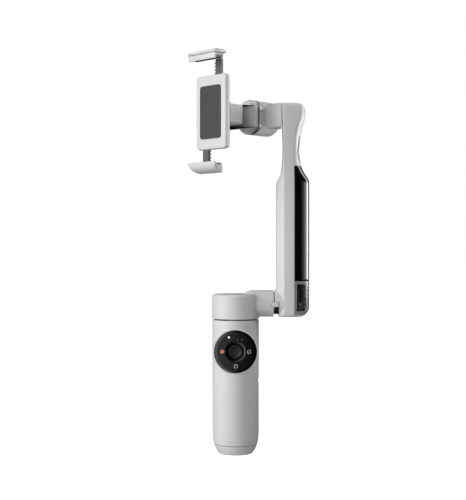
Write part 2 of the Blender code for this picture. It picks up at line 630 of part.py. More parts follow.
def main():
    clear_scene()
    stone = material("stone grey plastic", (0.60, 0.60, 0.59), 0.42)
    inner = material("inner plastic", (0.10, 0.10, 0.11), 0.55)
    gloss = material("black gloss plastic", (0.012, 0.012, 0.013), 0.12)
    clear = material("smoked clear plastic", (0.16, 0.16, 0.17), 0.08)
    rubber = material("black rubber", (0.035, 0.035, 0.038), 0.75)
    steel = material("steel", (0.62, 0.62, 0.63), 0.30, 1.0)
    alloy = material("aluminium", (0.72, 0.72, 0.73), 0.38, 1.0)
    copper = material("wound copper", (0.55, 0.27, 0.12), 0.40, 1.0)
    board = material("circuit board", (0.02, 0.10, 0.05), 0.50)
    cell = material("battery wrap", (0.05, 0.08, 0.16), 0.45)
    handle_shell(stone)
    handle_inside(inner, board, steel, cell)
    trigger(stone, steel)
    control_disc(gloss, rubber, inner, board)
    tripod(stone, inner)
    rod_stages(alloy)
    pan_motor(inner, steel, copper)
    pan_head(stone, steel)
    fold_stop_tab(stone)
    arm_frame(stone)
    arm_covers(stone, gloss, clear, inner)
    fold_hinge(steel, inner)
    arm_electronics(board, copper)
    roll_motor(stone, copper, alloy)
    roll_arm(stone)
    tilt_motor(stone, copper, alloy)
    clamp_body(stone, rubber, steel)
    jaw_drive(inner, steel)
    upper_jaw(stone, rubber)
    lower_jaw(stone, rubber)


main()
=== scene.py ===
"""The looks of a folding phone gimbal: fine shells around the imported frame, and a material on every piece.

Lengths are millimetres in the row frame. to_piece() scales them to metres.
"""

import json
from math import ceil, copysign, cos, dist, pi, radians, sin, sqrt, tan

import bmesh
import bpy
import numpy as np
from mathutils import Matrix, Vector

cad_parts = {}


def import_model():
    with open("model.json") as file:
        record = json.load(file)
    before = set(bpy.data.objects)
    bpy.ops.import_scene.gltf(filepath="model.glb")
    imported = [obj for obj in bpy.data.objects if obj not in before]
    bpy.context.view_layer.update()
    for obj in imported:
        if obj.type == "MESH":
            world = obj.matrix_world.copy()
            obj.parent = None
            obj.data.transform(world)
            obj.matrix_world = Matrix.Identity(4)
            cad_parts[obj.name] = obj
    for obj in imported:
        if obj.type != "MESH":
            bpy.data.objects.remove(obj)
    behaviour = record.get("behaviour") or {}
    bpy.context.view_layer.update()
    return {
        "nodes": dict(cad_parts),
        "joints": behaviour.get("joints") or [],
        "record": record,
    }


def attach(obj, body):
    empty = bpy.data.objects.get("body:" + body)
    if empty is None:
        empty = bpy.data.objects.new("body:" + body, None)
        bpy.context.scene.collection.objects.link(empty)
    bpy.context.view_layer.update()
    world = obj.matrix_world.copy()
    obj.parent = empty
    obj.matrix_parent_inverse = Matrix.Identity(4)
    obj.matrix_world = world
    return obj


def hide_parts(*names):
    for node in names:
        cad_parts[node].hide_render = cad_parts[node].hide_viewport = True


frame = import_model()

TO_METRES = 0.001
ROUND = 128  # segments of a large turned piece
SMALL_ROUND = 64
JOINTS = {joint["name"]: joint for joint in frame["joints"]}
UP = Vector((0, 0, 1))
RIGHT = Vector((1, 0, 0))
BACK = Vector((0, 1, 0))


# ---------------- places read from the frame


def span(node, place=None):
    """The lowest and highest corner of a CAD node in millimetres, measured along the axes of place."""
    to_place = place.inverted() if place else Matrix()
    points = np.array([to_place @ (v.co / TO_METRES) for v in frame["nodes"][node].data.vertices])
    return Vector(points.min(0)), Vector(points.max(0))


def place_at(x, y, z, origin=(0, 0, 0)):
    """The matrix whose columns are the directions x, y and z."""
    return Matrix.Translation(origin) @ Matrix((x, y, z)).transposed().to_4x4()


def joint_point(name):
    return Vector(JOINTS[name]["pos_m"]) / TO_METRES


FORWARD = Vector(JOINTS["roll"]["axis"])
ALONG = UP.cross(FORWARD)
DISC_Z = joint_point("panel_press_side").z
LINK = place_at(BACK, UP, RIGHT, (0, 0, joint_point("fold").z))
FRONT = place_at(RIGHT, UP, -BACK, (0, 0, DISC_Z))
ROLL = place_at(ALONG, UP, FORWARD, joint_point("roll"))
TILT = place_at(UP, FORWARD, ALONG, joint_point("tilt"))
ASIDE = joint_point("pinion_turn").xy.to_3d().dot(ALONG) * ALONG
CLAMP = place_at(ALONG, UP, FORWARD, joint_point("roll") + ASIDE)
UPRIGHT = place_at(RIGHT, UP, BACK)  # it mirrors, and to_piece() turns the faces back


# ---------------- shapes


def fillet(corners, radius=0.0, steps=5):
    """A closed outline whose corners (x, y) or (x, y, radius) are rounded into arcs."""
    outline = []
    count = len(corners)
    for i, corner in enumerate(corners):
        at, before, after = (Vector(corners[k % count][:2]) for k in (i, i - 1, i + 1))
        size = corner[2] if len(corner) > 2 else radius
        into, out = (before - at), (after - at)
        half = into.angle(out, pi) / 2
        if size < 1e-6 or half > radians(89.5) or half < 1e-3:
            outline.append(tuple(at))
            continue
        reach = min(size / tan(half), 0.49 * into.length, 0.49 * out.length)
        size = reach * tan(half)
        middle = at + (into.normalized() + out.normalized()).normalized() * size / sin(half)
        first = at + into.normalized() * reach - middle
        turn = copysign(pi - 2 * half, into.x * out.y - into.y * out.x)
        for step in range(steps + 1):
            angle = -turn * step / steps
            c, s = cos(angle), sin(angle)
            outline.append((middle.x + first.x * c - first.y * s, middle.y + first.x * s + first.y * c))
    return outline


def spaced(outline, longest):
    """The outline with its long sides divided, so that a curved surface made from it stays even."""
    made = []
    for start, end in zip(outline, outline[1:] + outline[:1]):
        parts = max(1, ceil(dist(start, end) / longest))
        made += [tuple(Vector(start).lerp(Vector(end), k / parts)) for k in range(parts)]
    return made


def loft(loops, ends=True):
    """A solid through loops that have the same number of points."""
    bm = bmesh.new()
    rings = [[bm.verts.new(point) for point in loop] for loop in loops]
    count = len(rings[0])
    pairs = list(zip(rings, rings[1:])) if ends else list(zip(rings, rings[1:] + rings[:1]))
    for low, high in pairs:
        for i in range(count):
            j = (i + 1) % count
            bm.faces.new((low[i], low[j], high[j], high[i]))
    if ends:
        bm.faces.new(rings[0][::-1])
        bm.faces.new(rings[-1])
    bmesh.ops.recalc_face_normals(bm, faces=bm.faces)
    return bm


def prism(outline, low, high, edge=0.0, steps=3):
    """An extruded outline whose two end edges are rounded by edge."""
    if not edge:
        return loft([[(x, y, z) for x, y in outline] for z in (low, high)])
    loops = []
    arc = [pi / 2 * k / steps for k in range(steps + 1)]
    for a in arc:
        loops.append((edge * (1 - sin(a)), low + edge * (1 - cos(a))))
    for a in reversed(arc):
        loops.append((edge * (1 - sin(a)), high - edge * (1 - cos(a))))
    return loft([[(x, y, z) for x, y in inset(outline, amount)] for amount, z in loops])


def inset(outline, amount):
    """The outline moved inwards by amount along its corner normals."""
    points = [Vector(p) for p in outline]
    area = sum(a.x * b.y - b.x * a.y for a, b in zip(points, points[1:] + points[:1]))
    side = 1 if area > 0 else -1
    moved = []
    for before, at, after in zip(points[-1:] + points[:-1], points, points[1:] + points[:1]):
        one = (at - before).normalized()
        two = (after - at).normalized()
        normal = Vector((-one.y - two.y, one.x + two.x)) * side
        normal.normalize()
        spread = max(0.3, normal.dot(Vector((-one.y, one.x)) * side))
        moved.append(tuple(at + normal * amount / spread))
    return moved


def turned(profile, segments=ROUND):
    """A solid of revolution about Z from a closed (radius, height) outline. Radius 0 is a pole."""
    bm = bmesh.new()
    rings = []
    for radius, height in profile:
        if radius < 1e-6:
            rings.append([bm.verts.new((0, 0, height))] * segments)
            continue
        angles = [2 * pi * i / segments for i in range(segments)]
        rings.append([bm.verts.new((radius * cos(a), radius * sin(a), height)) for a in angles])
    for low, high in zip(rings, rings[1:] + rings[:1]):
        for i in range(segments):
            j = (i + 1) % segments
            corners = list(dict.fromkeys((low[i], low[j], high[j], high[i])))
            if len(corners) > 2:
                bm.faces.new(corners)
    bmesh.ops.recalc_face_normals(bm, faces=bm.faces)
    return bm


def ring(inner, outer, low, high, edge=0.0, segments=ROUND):
    corners = rectangle((inner, outer), (low, high))
    return turned(fillet(corners, edge, 3) if edge else corners, segments)


def disc(radius, low, high, edge=0.0, segments=ROUND):
    """A round plate whose outer edges are rounded by edge."""
    corners = ((0, low, 0), (radius, low, edge), (radius, high, edge), (0, high, 0))
    return turned(fillet(corners, 0.0, 4), segments)


def rectangle(x, y):
    return (x[0], y[0]), (x[1], y[0]), (x[1], y[1]), (x[0], y[1])


def block(x, y, z, corner=0.0, edge=0.0):
    """A box between the pairs x, y and z: corner rounds its upright corners, edge its end edges."""
    return prism(fillet(rectangle(x, y), corner, 6), *z, edge)


def arc(radius, start, end, steps, x=0.0, y=0.0):
    """Points on an arc about (x, y) between two angles in degrees."""
    angles = [radians(start + (end - start) * k / steps) for k in range(steps + 1)]
    return [(x + radius * cos(a), y + radius * sin(a)) for a in angles]


def band(inner, outer, start, end, steps, x=0.0, y=0.0):
    """The outline of a part of a ring."""
    return arc(outer, start, end, steps, x, y) + arc(inner, start, end, steps, x, y)[::-1]


def sector(inner, outer, start, end, low, high, steps=40):
    return prism(band(inner, outer, start, end, steps), low, high)


def curve(points, at):
    """A smooth curve through (position, value) points, level beyond its ends."""
    xs, ys = (np.array(column, float) for column in zip(*points))
    slopes = np.gradient(ys, xs)
    at = min(max(at, xs[0]), xs[-1])
    k = min(int(np.searchsorted(xs, at, side="right")) - 1, len(xs) - 2)
    width = xs[k + 1] - xs[k]
    t = (at - xs[k]) / width
    rest = 1 - t
    ends = ys[k] * (1 + 2 * t) * rest**2 + ys[k + 1] * (3 - 2 * t) * t**2
    return float(ends + width * (slopes[k] * t * rest**2 - slopes[k + 1] * t**2 * rest))


def steps_between(low, high, longest):
    count = max(1, ceil((high - low) / longest))
    return [low + (high - low) * i / count for i in range(count + 1)]


def gather(*parts):
    """Several solids in one mesh."""
    whole = bmesh.new()
    for part in parts:
        mesh = bpy.data.meshes.new("part")
        part.to_mesh(mesh)
        part.free()
        whole.from_mesh(mesh)
        bpy.data.meshes.remove(mesh)
    return whole


# ---------------- pieces


def in_scene(name, data):
    made = bpy.data.objects.new(name, data)
    bpy.context.scene.collection.objects.link(made)
    return made


def new_object(name, bm, material):
    mesh = bpy.data.meshes.new(name)
    bm.to_mesh(mesh)
    bm.free()
    mesh.materials.append(material)
    return in_scene(name, mesh)


def to_piece(name, bm, material, body=None, place=None, replaces=None):
    """The mesh as a named piece that rides on a CAD body and stands for the CAD node that it replaces."""
    if place:
        bm.transform(place)
        if place.determinant() < 0:
            bmesh.ops.reverse_faces(bm, faces=bm.faces[:])
    bm.transform(Matrix.Scale(TO_METRES, 4))
    piece = new_object(name, bm, material)
    if body:
        soften(piece)
        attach(piece, body)
    if replaces:
        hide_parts(replaces)
    return piece


def soften(piece, angle=35):
    piece.data.shade_smooth()
    piece.data.set_sharp_from_angle(angle=radians(angle))


def apply_modifiers(piece):
    """Replaces the piece's mesh by its evaluated mesh."""
    graph = bpy.context.evaluated_depsgraph_get()
    made = bpy.data.meshes.new_from_object(piece.evaluated_get(graph))
    old = piece.data
    piece.modifiers.clear()
    piece.data = made
    bpy.data.meshes.remove(old)
    made.name = piece.name


def shape(piece, bm, operation, place=None):
    """Cuts bm from the piece, or joins it to the piece."""
    tool = to_piece("tool", bm, piece.data.materials[0], place=place)
    modifier = piece.modifiers.new("shape", "BOOLEAN")
    modifier.operation = operation
    modifier.object = tool
    apply_modifiers(piece)
    bpy.data.objects.remove(tool)
    soften(piece)


def cut(piece, bm, place=None):
    shape(piece, bm, "DIFFERENCE", place)


def join(piece, bm, place=None):
    shape(piece, bm, "UNION", place)


def edges(piece, width, angle=35, segments=3):
    """Rounds the piece's sharp edges by width."""
    modifier = piece.modifiers.new("edges", "BEVEL")
    modifier.width = width * TO_METRES
    modifier.segments = segments
    modifier.limit_method = "ANGLE"
    modifier.angle_limit = radians(angle)
    apply_modifiers(piece)
    soften(piece)


# ---------------- materials


class Nodes:
    """A material's node tree, with short calls for the nodes that are used here."""

    def __init__(self, name, colour, roughness, metallic=0.0):
        self.material = bpy.data.materials.new(name)
        self.material.use_nodes = True
        self.tree = self.material.node_tree
        self.shader = self.tree.nodes["Principled BSDF"]
        self.set("Base Color", (*colour, 1))
        self.set("Roughness", roughness)
        self.set("Metallic", metallic)
        self.colour = colour
        self.roughness = roughness

    def set(self, socket, value):
        self.shader.inputs[socket].default_value = value

    def add(self, kind, **settings):
        node = self.tree.nodes.new(kind)
        for key, value in settings.items():
            if key in node.inputs:
                node.inputs[key].default_value = value
            else:
                setattr(node, key, value)
        return node

    def link(self, start, end):
        self.tree.links.new(start, end)

    def coordinates(self, stretch=(1, 1, 1), turn=(0, 0, 0)):
        """Object coordinates in millimetres, scaled by stretch."""
        source = self.add("ShaderNodeTexCoord")
        mapping = self.add("ShaderNodeMapping")
        mapping.inputs["Scale"].default_value = Vector(stretch) / TO_METRES
        mapping.inputs["Rotation"].default_value = turn
        self.link(source.outputs["Object"], mapping.inputs["Vector"])
        return mapping.outputs["Vector"]

    def noise(self, where, per_mm, detail=3.0):
        node = self.add("ShaderNodeTexNoise", Scale=per_mm, Detail=detail)
        self.link(where, node.inputs["Vector"])
        return node.outputs["Fac"]

    def between(self, source, low, high, start=0.3, end=0.7):
        """source remapped from start..end to low..high."""
        node = self.add("ShaderNodeMapRange")
        for socket, value in zip(("From Min", "From Max", "To Min", "To Max"), (start, end, low, high)):
            node.inputs[socket].default_value = value
        self.link(source, node.inputs["Value"])
        return node.outputs["Result"]

    def mix(self, amount, one, two):
        """The colour that goes from one to two with amount. Each is a colour or a socket."""
        node = self.add("ShaderNodeMix", data_type="RGBA")
        for socket, value in ((6, one), (7, two)):
            if isinstance(value, tuple):
                node.inputs[socket].default_value = (*value, 1)
            else:
                self.link(value, node.inputs[socket])
        self.link(amount, node.inputs[0])
        return node.outputs[2]

    def shades(self, source, dark, bright):
        """The material's colour, made darker and brighter by source."""
        return self.mix(self.between(source, 0, 1), lighter(self.colour, dark), lighter(self.colour, bright))

    def paint(self, socket):
        self.link(socket, self.shader.inputs["Base Color"])

    def dull(self, source, spread):
        """Roughness that varies by spread to either side."""
        low, high = self.roughness - spread, self.roughness + spread
        self.link(self.between(source, low, high), self.shader.inputs["Roughness"])

    def bump(self, source, depth, strength=1.0, under=None):
        """A bump of depth millimetres."""
        node = self.add("ShaderNodeBump", Strength=strength, Distance=depth * TO_METRES)
        self.link(source, node.inputs["Height"])
        if under:
            self.link(under, node.inputs["Normal"])
        self.link(node.outputs["Normal"], self.shader.inputs["Normal"])
        return node.outputs["Normal"]


def lighter(colour, factor):
    return tuple(min(1.0, c * factor) for c in colour)


def moulded(name, colour, roughness, grain=7.0, depth=0.010, wear=1.06):
    """Satin moulded plastic: spark-eroded grain, faint flow marks, and edges a little polished by hands."""
    made = Nodes(name, colour, roughness)
    where = made.coordinates()
    fine = made.noise(where, grain, 2.0)
    cloud = made.noise(where, 0.035, 4.0)
    flow = made.noise(made.coordinates((1, 1, 0.12)), 0.22, 3.0)
    tone = made.shades(cloud, 0.955, 1.03)
    tone = made.mix(made.between(fine, 0, 0.22, 0.35, 0.75), tone, lighter(colour, 0.86))
    worn = made.add("ShaderNodeNewGeometry")
    edge = made.between(worn.outputs["Pointiness"], 0, 0.5, 0.52, 0.60)
    tone = made.mix(edge, tone, lighter(colour, wear))
    made.paint(tone)
    made.dull(flow, 0.05)
    under = made.bump(made.noise(where, 0.25, 2.0), 0.02, 0.35)
    made.bump(fine, depth, 0.8, under)
    made.set("Specular IOR Level", 0.42)
    return made.material


def polished(name, colour, roughness):
    """Gloss black plastic: deep, with faint smears and the slight waviness of a moulded face."""
    made = Nodes(name, colour, roughness)
    smear = made.noise(made.coordinates((0.25, 0.6, 0.15)), 0.12, 5.0)
    wipes = made.noise(made.coordinates((3.0, 3.0, 0.10), (0.3, 0.2, 0)), 1.4, 2.0)
    made.paint(made.shades(smear, 0.6, 1.6))
    made.dull(made.mix(made.between(wipes, 0, 0.35), smear, wipes), 0.02)
    made.bump(made.noise(made.coordinates(), 0.05, 1.0), 0.02, 0.15)
    made.set("Specular IOR Level", 0.5)
    return made.material


def smoked(name, colour, roughness):
    """Thin clear plastic, a little smoked."""
    made = Nodes(name, colour, roughness)
    smear = made.noise(made.coordinates((0.3, 0.3, 0.15)), 0.2, 4.0)
    made.paint(made.shades(smear, 0.6, 1.4))
    made.dull(smear, 0.02)
    made.set("Alpha", 0.18)
    made.set("IOR", 1.58)
    made.bump(made.noise(made.coordinates(), 0.05, 1.0), 0.02, 0.1)
    return made.material


def soft_rubber(name, colour, roughness):
    """Rubber: a stipple of small pits and a dusty bloom."""
    made = Nodes(name, colour, roughness)
    where = made.coordinates()
    pits = made.add("ShaderNodeTexVoronoi", Scale=3.2)
    made.link(where, pits.inputs["Vector"])
    bloom = made.noise(where, 0.12, 5.0)
    made.paint(made.shades(bloom, 0.85, 1.5))
    made.dull(bloom, 0.08)
    made.bump(pits.outputs["Distance"], 0.02, 0.6)
    made.set("Sheen Weight", 0.04)
    return made.material


def metal(name, colour, roughness, along=(1, 1, 0.03), depth=0.004):
    """Metal with fine tool marks drawn out along one direction."""
    made = Nodes(name, colour, roughness, 1.0)
    marks = made.noise(made.coordinates(along), 6.0, 3.0)
    cloud = made.noise(made.coordinates(), 0.15, 3.0)
    tone = made.shades(cloud, 0.88, 1.05)
    made.paint(made.mix(made.between(marks, 0, 0.35), tone, lighter(colour, 0.7)))
    made.dull(marks, 0.07)
    made.bump(marks, depth, 0.6)
    return made.material


def wound_copper(name, colour, roughness):
    """Lacquered wire laid side by side, darkened with painted shade in the crevices between the wires."""
    made = Nodes(name, colour, roughness, 1.0)
    wires = made.add("ShaderNodeTexWave", bands_direction="DIAGONAL", Scale=1.1, Distortion=0.6)
    made.link(made.coordinates(), wires.inputs["Vector"])
    tone = made.noise(made.coordinates(), 0.4, 3.0)
    varied = made.shades(tone, 0.8, 1.15)
    # Painted shade: the copper goes down to a quarter of its colour in the crevices between the wires.
    made.paint(made.mix(made.between(wires.outputs["Fac"], 0, 0.6, 0.0, 0.35), lighter(colour, 0.25), varied))
    made.dull(tone, 0.06)
    made.bump(wires.outputs["Fac"], 0.12, 0.7)
    return made.material


def circuit(name, colour, roughness):
    """Solder mask over copper lands and tracks."""
    made = Nodes(name, colour, roughness)
    tracks = made.add("ShaderNodeTexBrick", Scale=0.45, offset=0.35)
    tracks.inputs["Mortar Size"].default_value = 0.03
    made.link(made.coordinates(), tracks.inputs["Vector"])
    cloud = made.noise(made.coordinates(), 0.5, 4.0)
    board = made.shades(cloud, 0.8, 1.2)
    made.paint(made.mix(tracks.outputs["Fac"], board, lighter(colour, 2.2)))
    made.dull(cloud, 0.08)
    made.bump(tracks.outputs["Fac"], 0.03, 0.6)
    return made.material


def wrap_film(name, colour, roughness):
    """Shrink film, drawn tight, with small creases."""
    made = Nodes(name, colour, roughness)
    creases = made.noise(made.coordinates((1, 1, 0.2)), 0.5, 6.0)
    made.paint(made.shades(creases, 0.8, 1.3))
    made.dull(creases, 0.1)
    made.bump(creases, 0.1, 0.5)
    return made.material


def glowing_ink(name, colour, glow, power):
    """Ink on the control disc that glows by emission: on the printed marks the glow is painted light, on the
    status light it is the light of its lamp.
    """
    made = Nodes(name, colour, 0.45)
    speckle = made.noise(made.coordinates(), 5.0, 3.0)
    made.paint(made.shades(speckle, 0.9, 1.05))
    made.dull(speckle, 0.05)
    made.bump(speckle, 0.004, 0.4)
    made.set("Emission Color", (*glow, 1))
    made.set("Emission Strength", power)
    return made.material


STONE = moulded("stone_grey_plastic", (0.575, 0.570, 0.565), 0.43)
INNER = moulded("inner_black_plastic", (0.075, 0.075, 0.08), 0.52, 6.0, 0.012, 1.3)
GLOSS = polished("black_gloss_plastic", (0.0014, 0.0014, 0.0016), 0.16)
DISC_GLOSS = polished("disc_gloss_plastic", (0.0012, 0.0012, 0.0014), 0.075)
CLEAR = smoked("smoked_clear_plastic", (0.02, 0.02, 0.021), 0.13)
RUBBER = soft_rubber("black_rubber", (0.035, 0.035, 0.037), 0.68)
STICK = soft_rubber("stick_rubber", (0.005, 0.005, 0.0053), 0.54)
DARK = moulded("dark_liner_plastic", (0.018, 0.018, 0.019), 0.55, 6.0, 0.010, 1.2)
STEEL = metal("brushed_steel", (0.60, 0.60, 0.61), 0.30)
# The screw heads wear a pale non-metal colour: their plating is real, but its brightness stands for their
# glint, a painted highlight.
ZINC_PAINTED_GLINT = moulded("zinc_plating", (0.80, 0.80, 0.78), 0.35, 9.0, 0.004, 1.1)
ALLOY = metal("blasted_aluminium", (0.72, 0.72, 0.73), 0.38, (1, 1, 1), 0.006)
COPPER = wound_copper("wound_copper", (0.60, 0.27, 0.12), 0.36)
BOARD = circuit("solder_mask", (0.02, 0.10, 0.05), 0.45)
WRAP = wrap_film("battery_film", (0.05, 0.08, 0.16), 0.40)
# The record dot and the printed icons glow by emission, a painted glow; only the status light is a lamp.
RED_INK = glowing_ink("record_red", (0.42, 0.13, 0.09), (0.50, 0.17, 0.12), 0.30)
WHITE_INK = glowing_ink("icon_white", (0.50, 0.50, 0.50), (0.6, 0.6, 0.6), 0.06)
DIM_INK = glowing_ink("icon_dim", (0.07, 0.07, 0.07), (0.08, 0.08, 0.08), 0.06)
LED_INK = glowing_ink("status_light", (0.85, 0.85, 0.85), (1.0, 1.0, 1.0), 0.55)

SLOT_MATERIALS = {  # the first of each is what the CAD nodes wear
    "stone_plastic": [STONE], "inner_plastic": [INNER, DARK], "clear_window": [CLEAR],
    "rubber": [RUBBER, STICK],
    "gloss_panel": [GLOSS, DISC_GLOSS, RED_INK, WHITE_INK, DIM_INK, LED_INK], "steel": [STEEL, ZINC_PAINTED_GLINT],
    "aluminium": [ALLOY], "winding": [COPPER], "circuit_board": [BOARD], "battery_wrap": [WRAP],
}


# ---------------- handle

HANDLE_LOW, HANDLE_HIGH = (corner.z for corner in span("handle_shell"))
HANDLE_R = span("handle_shell")[1].x
WALL = 1.8
LIP = 0.6  # rounding of the casing's top edge
FOOT_R = 0.717 * HANDLE_R
FOOT_CURVE = 3.2  # how suddenly the foot draws in
TAPER_TOP = 20.0
WALL_FOOT = 12.0  # below this the inside follows the foot
THROUGH_FRONT, THROUGH_BACK, THROUGH_SIDE = (8.0, 30.0), (10.0, 25.0), (14.0, 20.0)  # cuts through the wall
GAP = 0.3  # round a piece that moves or is let in
PANEL_LOW, PANEL_HIGH = span("control_panel", FRONT)
PANEL_R = PANEL_HIGH.x
ROCKER_R = span("panel_rocker_ring", FRONT)[1].x
BOSS_FRONT = span("handle_shell", FRONT)[1].z
BOSS_R = PANEL_R + 0.95
RIM_EDGE = 0.3  # rounding of the rim's outer edge
RIM_STEPS = 160
POCKET_R = PANEL_R + GAP
POCKET_FLOOR = PANEL_LOW.z - 0.4


def handle_radius(z):
    """The handle's outside radius, drawn in towards its foot."""
    if z >= TAPER_TOP:
        return HANDLE_R
    return HANDLE_R - (HANDLE_R - FOOT_R) * (1 - max(z, 0) / TAPER_TOP) ** FOOT_CURVE


def handle_skin():
    foot, inside = handle_radius(HANDLE_LOW), HANDLE_R - WALL
    heights = steps_between(HANDLE_LOW + 0.25, TAPER_TOP, 0.9)
    heights += steps_between(TAPER_TOP, HANDLE_HIGH - LIP, 2.0)[1:]
    profile = [(foot - 0.25, HANDLE_LOW)] + [(handle_radius(z), z) for z in heights]
    for a in (0.5, 1.0, pi / 2):
        profile.append((HANDLE_R - LIP + LIP * cos(a), HANDLE_HIGH - LIP + LIP * sin(a)))
    profile += [(inside, HANDLE_HIGH), (inside, WALL_FOOT), (foot - WALL, HANDLE_LOW)]
    skin = to_piece("handle_skin", turned(profile), STONE, "handle", replaces="handle_shell")
    cut(skin, disc(POCKET_R + 0.2, *THROUGH_FRONT), FRONT)
    low, high = span("trigger")
    half, room_below = high.x + GAP, 0.9
    opening = block((-half, half), (low.z - room_below, high.z + GAP), THROUGH_BACK, 1.2)
    cut(skin, opening, UPRIGHT)
    low, high = span("usb_port")
    gap = 0.35
    slot = block((low.y - gap, high.y + gap), (low.z - gap, high.z + gap), THROUGH_SIDE, 1.5)
    cut(skin, slot, place_at(BACK, UP, RIGHT))
    soften(skin, 30)


def handle_front_depth(across):
    """How far forward the round handle's surface is at a distance across from its middle."""
    return sqrt(HANDLE_R**2 - across**2)


def disc_surround():
    """The rim that holds the control disc, drawn out smoothly into the round handle."""
    edge_r, edge_z = BOSS_R - RIM_EDGE, BOSS_FRONT - RIM_EDGE
    loops = []
    for k in range(RIM_STEPS):
        angle = 2 * pi * k / RIM_STEPS
        side = cos(angle)
        foot = BOSS_R + 1.6 - 0.75 * side**2
        depth = handle_front_depth(foot * side)
        tangent = Vector((1, -foot * side**2 / depth)).normalized()
        top, end = Vector((BOSS_R, edge_z)), Vector((foot, depth))
        pull = 0.45 * (end - top).length
        bottom = min(POCKET_FLOOR, depth - 0.8)
        rim = [(POCKET_R, bottom), (POCKET_R, BOSS_FRONT - 0.12), (POCKET_R + 0.12, BOSS_FRONT)]
        rim += [(edge_r + RIM_EDGE * sin(a), edge_z + RIM_EDGE * cos(a)) for a in (0, 0.5, 1.0)]
        blend = bezier(top, top - Vector((0, pull)), end - pull * tangent, end, 10)
        buried = [end + 0.5 * tangent - Vector((0.25, 0.45)), Vector((POCKET_R + 0.3, bottom - 0.1))]
        profile = [Vector(p) for p in rim] + blend + buried
        loops.append([(p.x * side, p.x * sin(angle), p.y) for p in profile])
    to_piece("disc_surround", loft(loops, ends=False), STONE, "handle", FRONT, "handle_shell")


def bezier(a, b, c, d, steps):
    made = []
    for k in range(steps + 1):
        t = k / steps
        s = 1 - t
        made.append(a * s**3 + b * 3 * s * s * t + c * 3 * s * t * t + d * t**3)
    return made


def pocket_floor():
    """The dark floor behind the control disc, seen in the thin gap round it."""
    bm = ring(ROCKER_R + 0.4, POCKET_R + 0.1, POCKET_FLOOR - 1.2, POCKET_FLOOR - 0.3)
    to_piece("disc_pocket_floor", bm, INNER, "handle", FRONT)


def usb_socket():
    low, high = span("usb_port")
    place = place_at(BACK, UP, RIGHT, (0, 0, (low.z + high.z) / 2))
    half, tall = (high.y - low.y) / 2, (high.z - low.z) / 2
    sheet = 0.32
    outer = rectangle((-half, half), (-tall, tall))
    inner = [(x * (1 - sheet / half), y * (1 - sheet / tall)) for x, y in outer]
    sleeve = prism(fillet(outer, tall - 0.05, 8), low.x, high.x, 0.12, 2)
    shell = to_piece("usb_socket", sleeve, STEEL, "handle", place, "usb_port")
    cut(shell, prism(fillet(inner, tall - 0.4, 8), low.x + 0.6, high.x + 2.0), place)
    tongue = block((-half + 1.1, half - 1.1), (-0.35, 0.35), (low.x + 0.3, high.x - 0.7), 0.2, 0.1)
    to_piece("usb_tongue", tongue, INNER, "handle", place)


TRIGGER_TOP = 89.0
TRIGGER_INSIDE = 16.4
TRIGGER_HALF = radians(19.3)  # half its width, as an angle about the handle's axis
RIDGES = 3
RIDGES_START, RIDGES_END = 0.2, 0.62  # shares of its height
TRIGGER_HUB = (-4.5, 4.5), (84.0, 91.2), (14.0, 17.5)


def trigger_lever():
    """The lever at the back: fuller at its lower end, with three finger ridges."""
    low, high = span("trigger")
    loops = []
    for z in steps_between(low.z, TRIGGER_TOP, 0.35):
        t = (z - low.z) / (TRIGGER_TOP - low.z)
        ends = min(1.0, (z - low.z) / 1.3, (TRIGGER_TOP - z) / 1.3)
        rounding = 1 - sqrt(max(0.0, 1 - (1 - ends) ** 2))
        radius = high.y - 0.2 - 1.1 * t - 1.1 * rounding
        if RIDGES_START < t < RIDGES_END:
            share = (t - RIDGES_START) / (RIDGES_END - RIDGES_START)
            radius -= 0.28 * (0.5 - 0.5 * cos(share * RIDGES * 2 * pi))
        half = TRIGGER_HALF - rounding * 0.05
        angles = [pi / 2 + half * (2 * k / 28 - 1) for k in range(29)]
        outside = [(lever_radius(radius, a, half), a) for a in angles]
        loop = outside + [(TRIGGER_INSIDE, a) for a in reversed(angles)]
        loops.append([(r * cos(a), r * sin(a), z) for r, a in loop])
    lever = to_piece("trigger_lever", loft(loops), STONE, "trigger", replaces="trigger")
    join(lever, block(*TRIGGER_HUB, 0.6, GAP), UPRIGHT)
    bore = disc(1.1, -9.0, 9.0, 0.0, 32)
    cut(lever, bore, place_at(-UP, BACK, RIGHT, joint_point("trigger_press")))


def lever_radius(radius, angle, half):
    """The lever's outer radius, falling off near its two sides."""
    share = abs(angle - pi / 2) / half
    return radius - 0.9 * max(0.0, (share - 0.8) / 0.2) ** 2


LEG_SPLIT = 0.7  # degrees from a leg's side to the third of the circle that it fills
LEG_POINTS = (-1.5, 2.6, 2.6)  # how far each leg's point is from the axis
LEG_EDGE = 0.8  # height of the rounding under a foot


def tripod_legs():
    """Three legs. Closed, their feet make the handle's round foot."""
    foot_top = HANDLE_LOW - 0.4
    for number, inner in enumerate(LEG_POINTS, 1):
        node = f"tripod_leg_{number}"
        low, stave_top = (corner.z for corner in span(node))
        start = 120 * number - 30 + LEG_SPLIT
        end = start + 118.6
        heights = [low + k for k in (0, 0.06, 0.2, 0.45, LEG_EDGE)]
        heights += steps_between(low + 1.4, foot_top - 0.3, 0.7) + [foot_top]
        loops = []
        for z in heights:
            rise = min(1.0, (z - low) / LEG_EDGE)
            radius = handle_radius(z) - 0.55 * (1 - sqrt(1 - (1 - rise) ** 2))
            if z == foot_top:
                radius -= 0.25
            loops.append(foot_loop(radius, z, inner, start, end))
        leg = to_piece(f"tripod_leg_skin_{number}", loft(loops), STONE, "tripod", replaces=node)
        middle = (start + end) / 2
        join(leg, sector(8.0, 13.6, middle - 38, middle + 38, 5.0, stave_top, 24))
        edges(leg, 0.18, 50, 2)


def foot_loop(radius, height, inner, start, end):
    """A third of a disc, with its point at inner from the axis."""
    half = radians((start + end) / 2)
    outline = arc(radius, start, end, 36) + [(inner * cos(half), inner * sin(half))]
    return [(x, y, height) for x, y in outline]


# ---------------- control disc

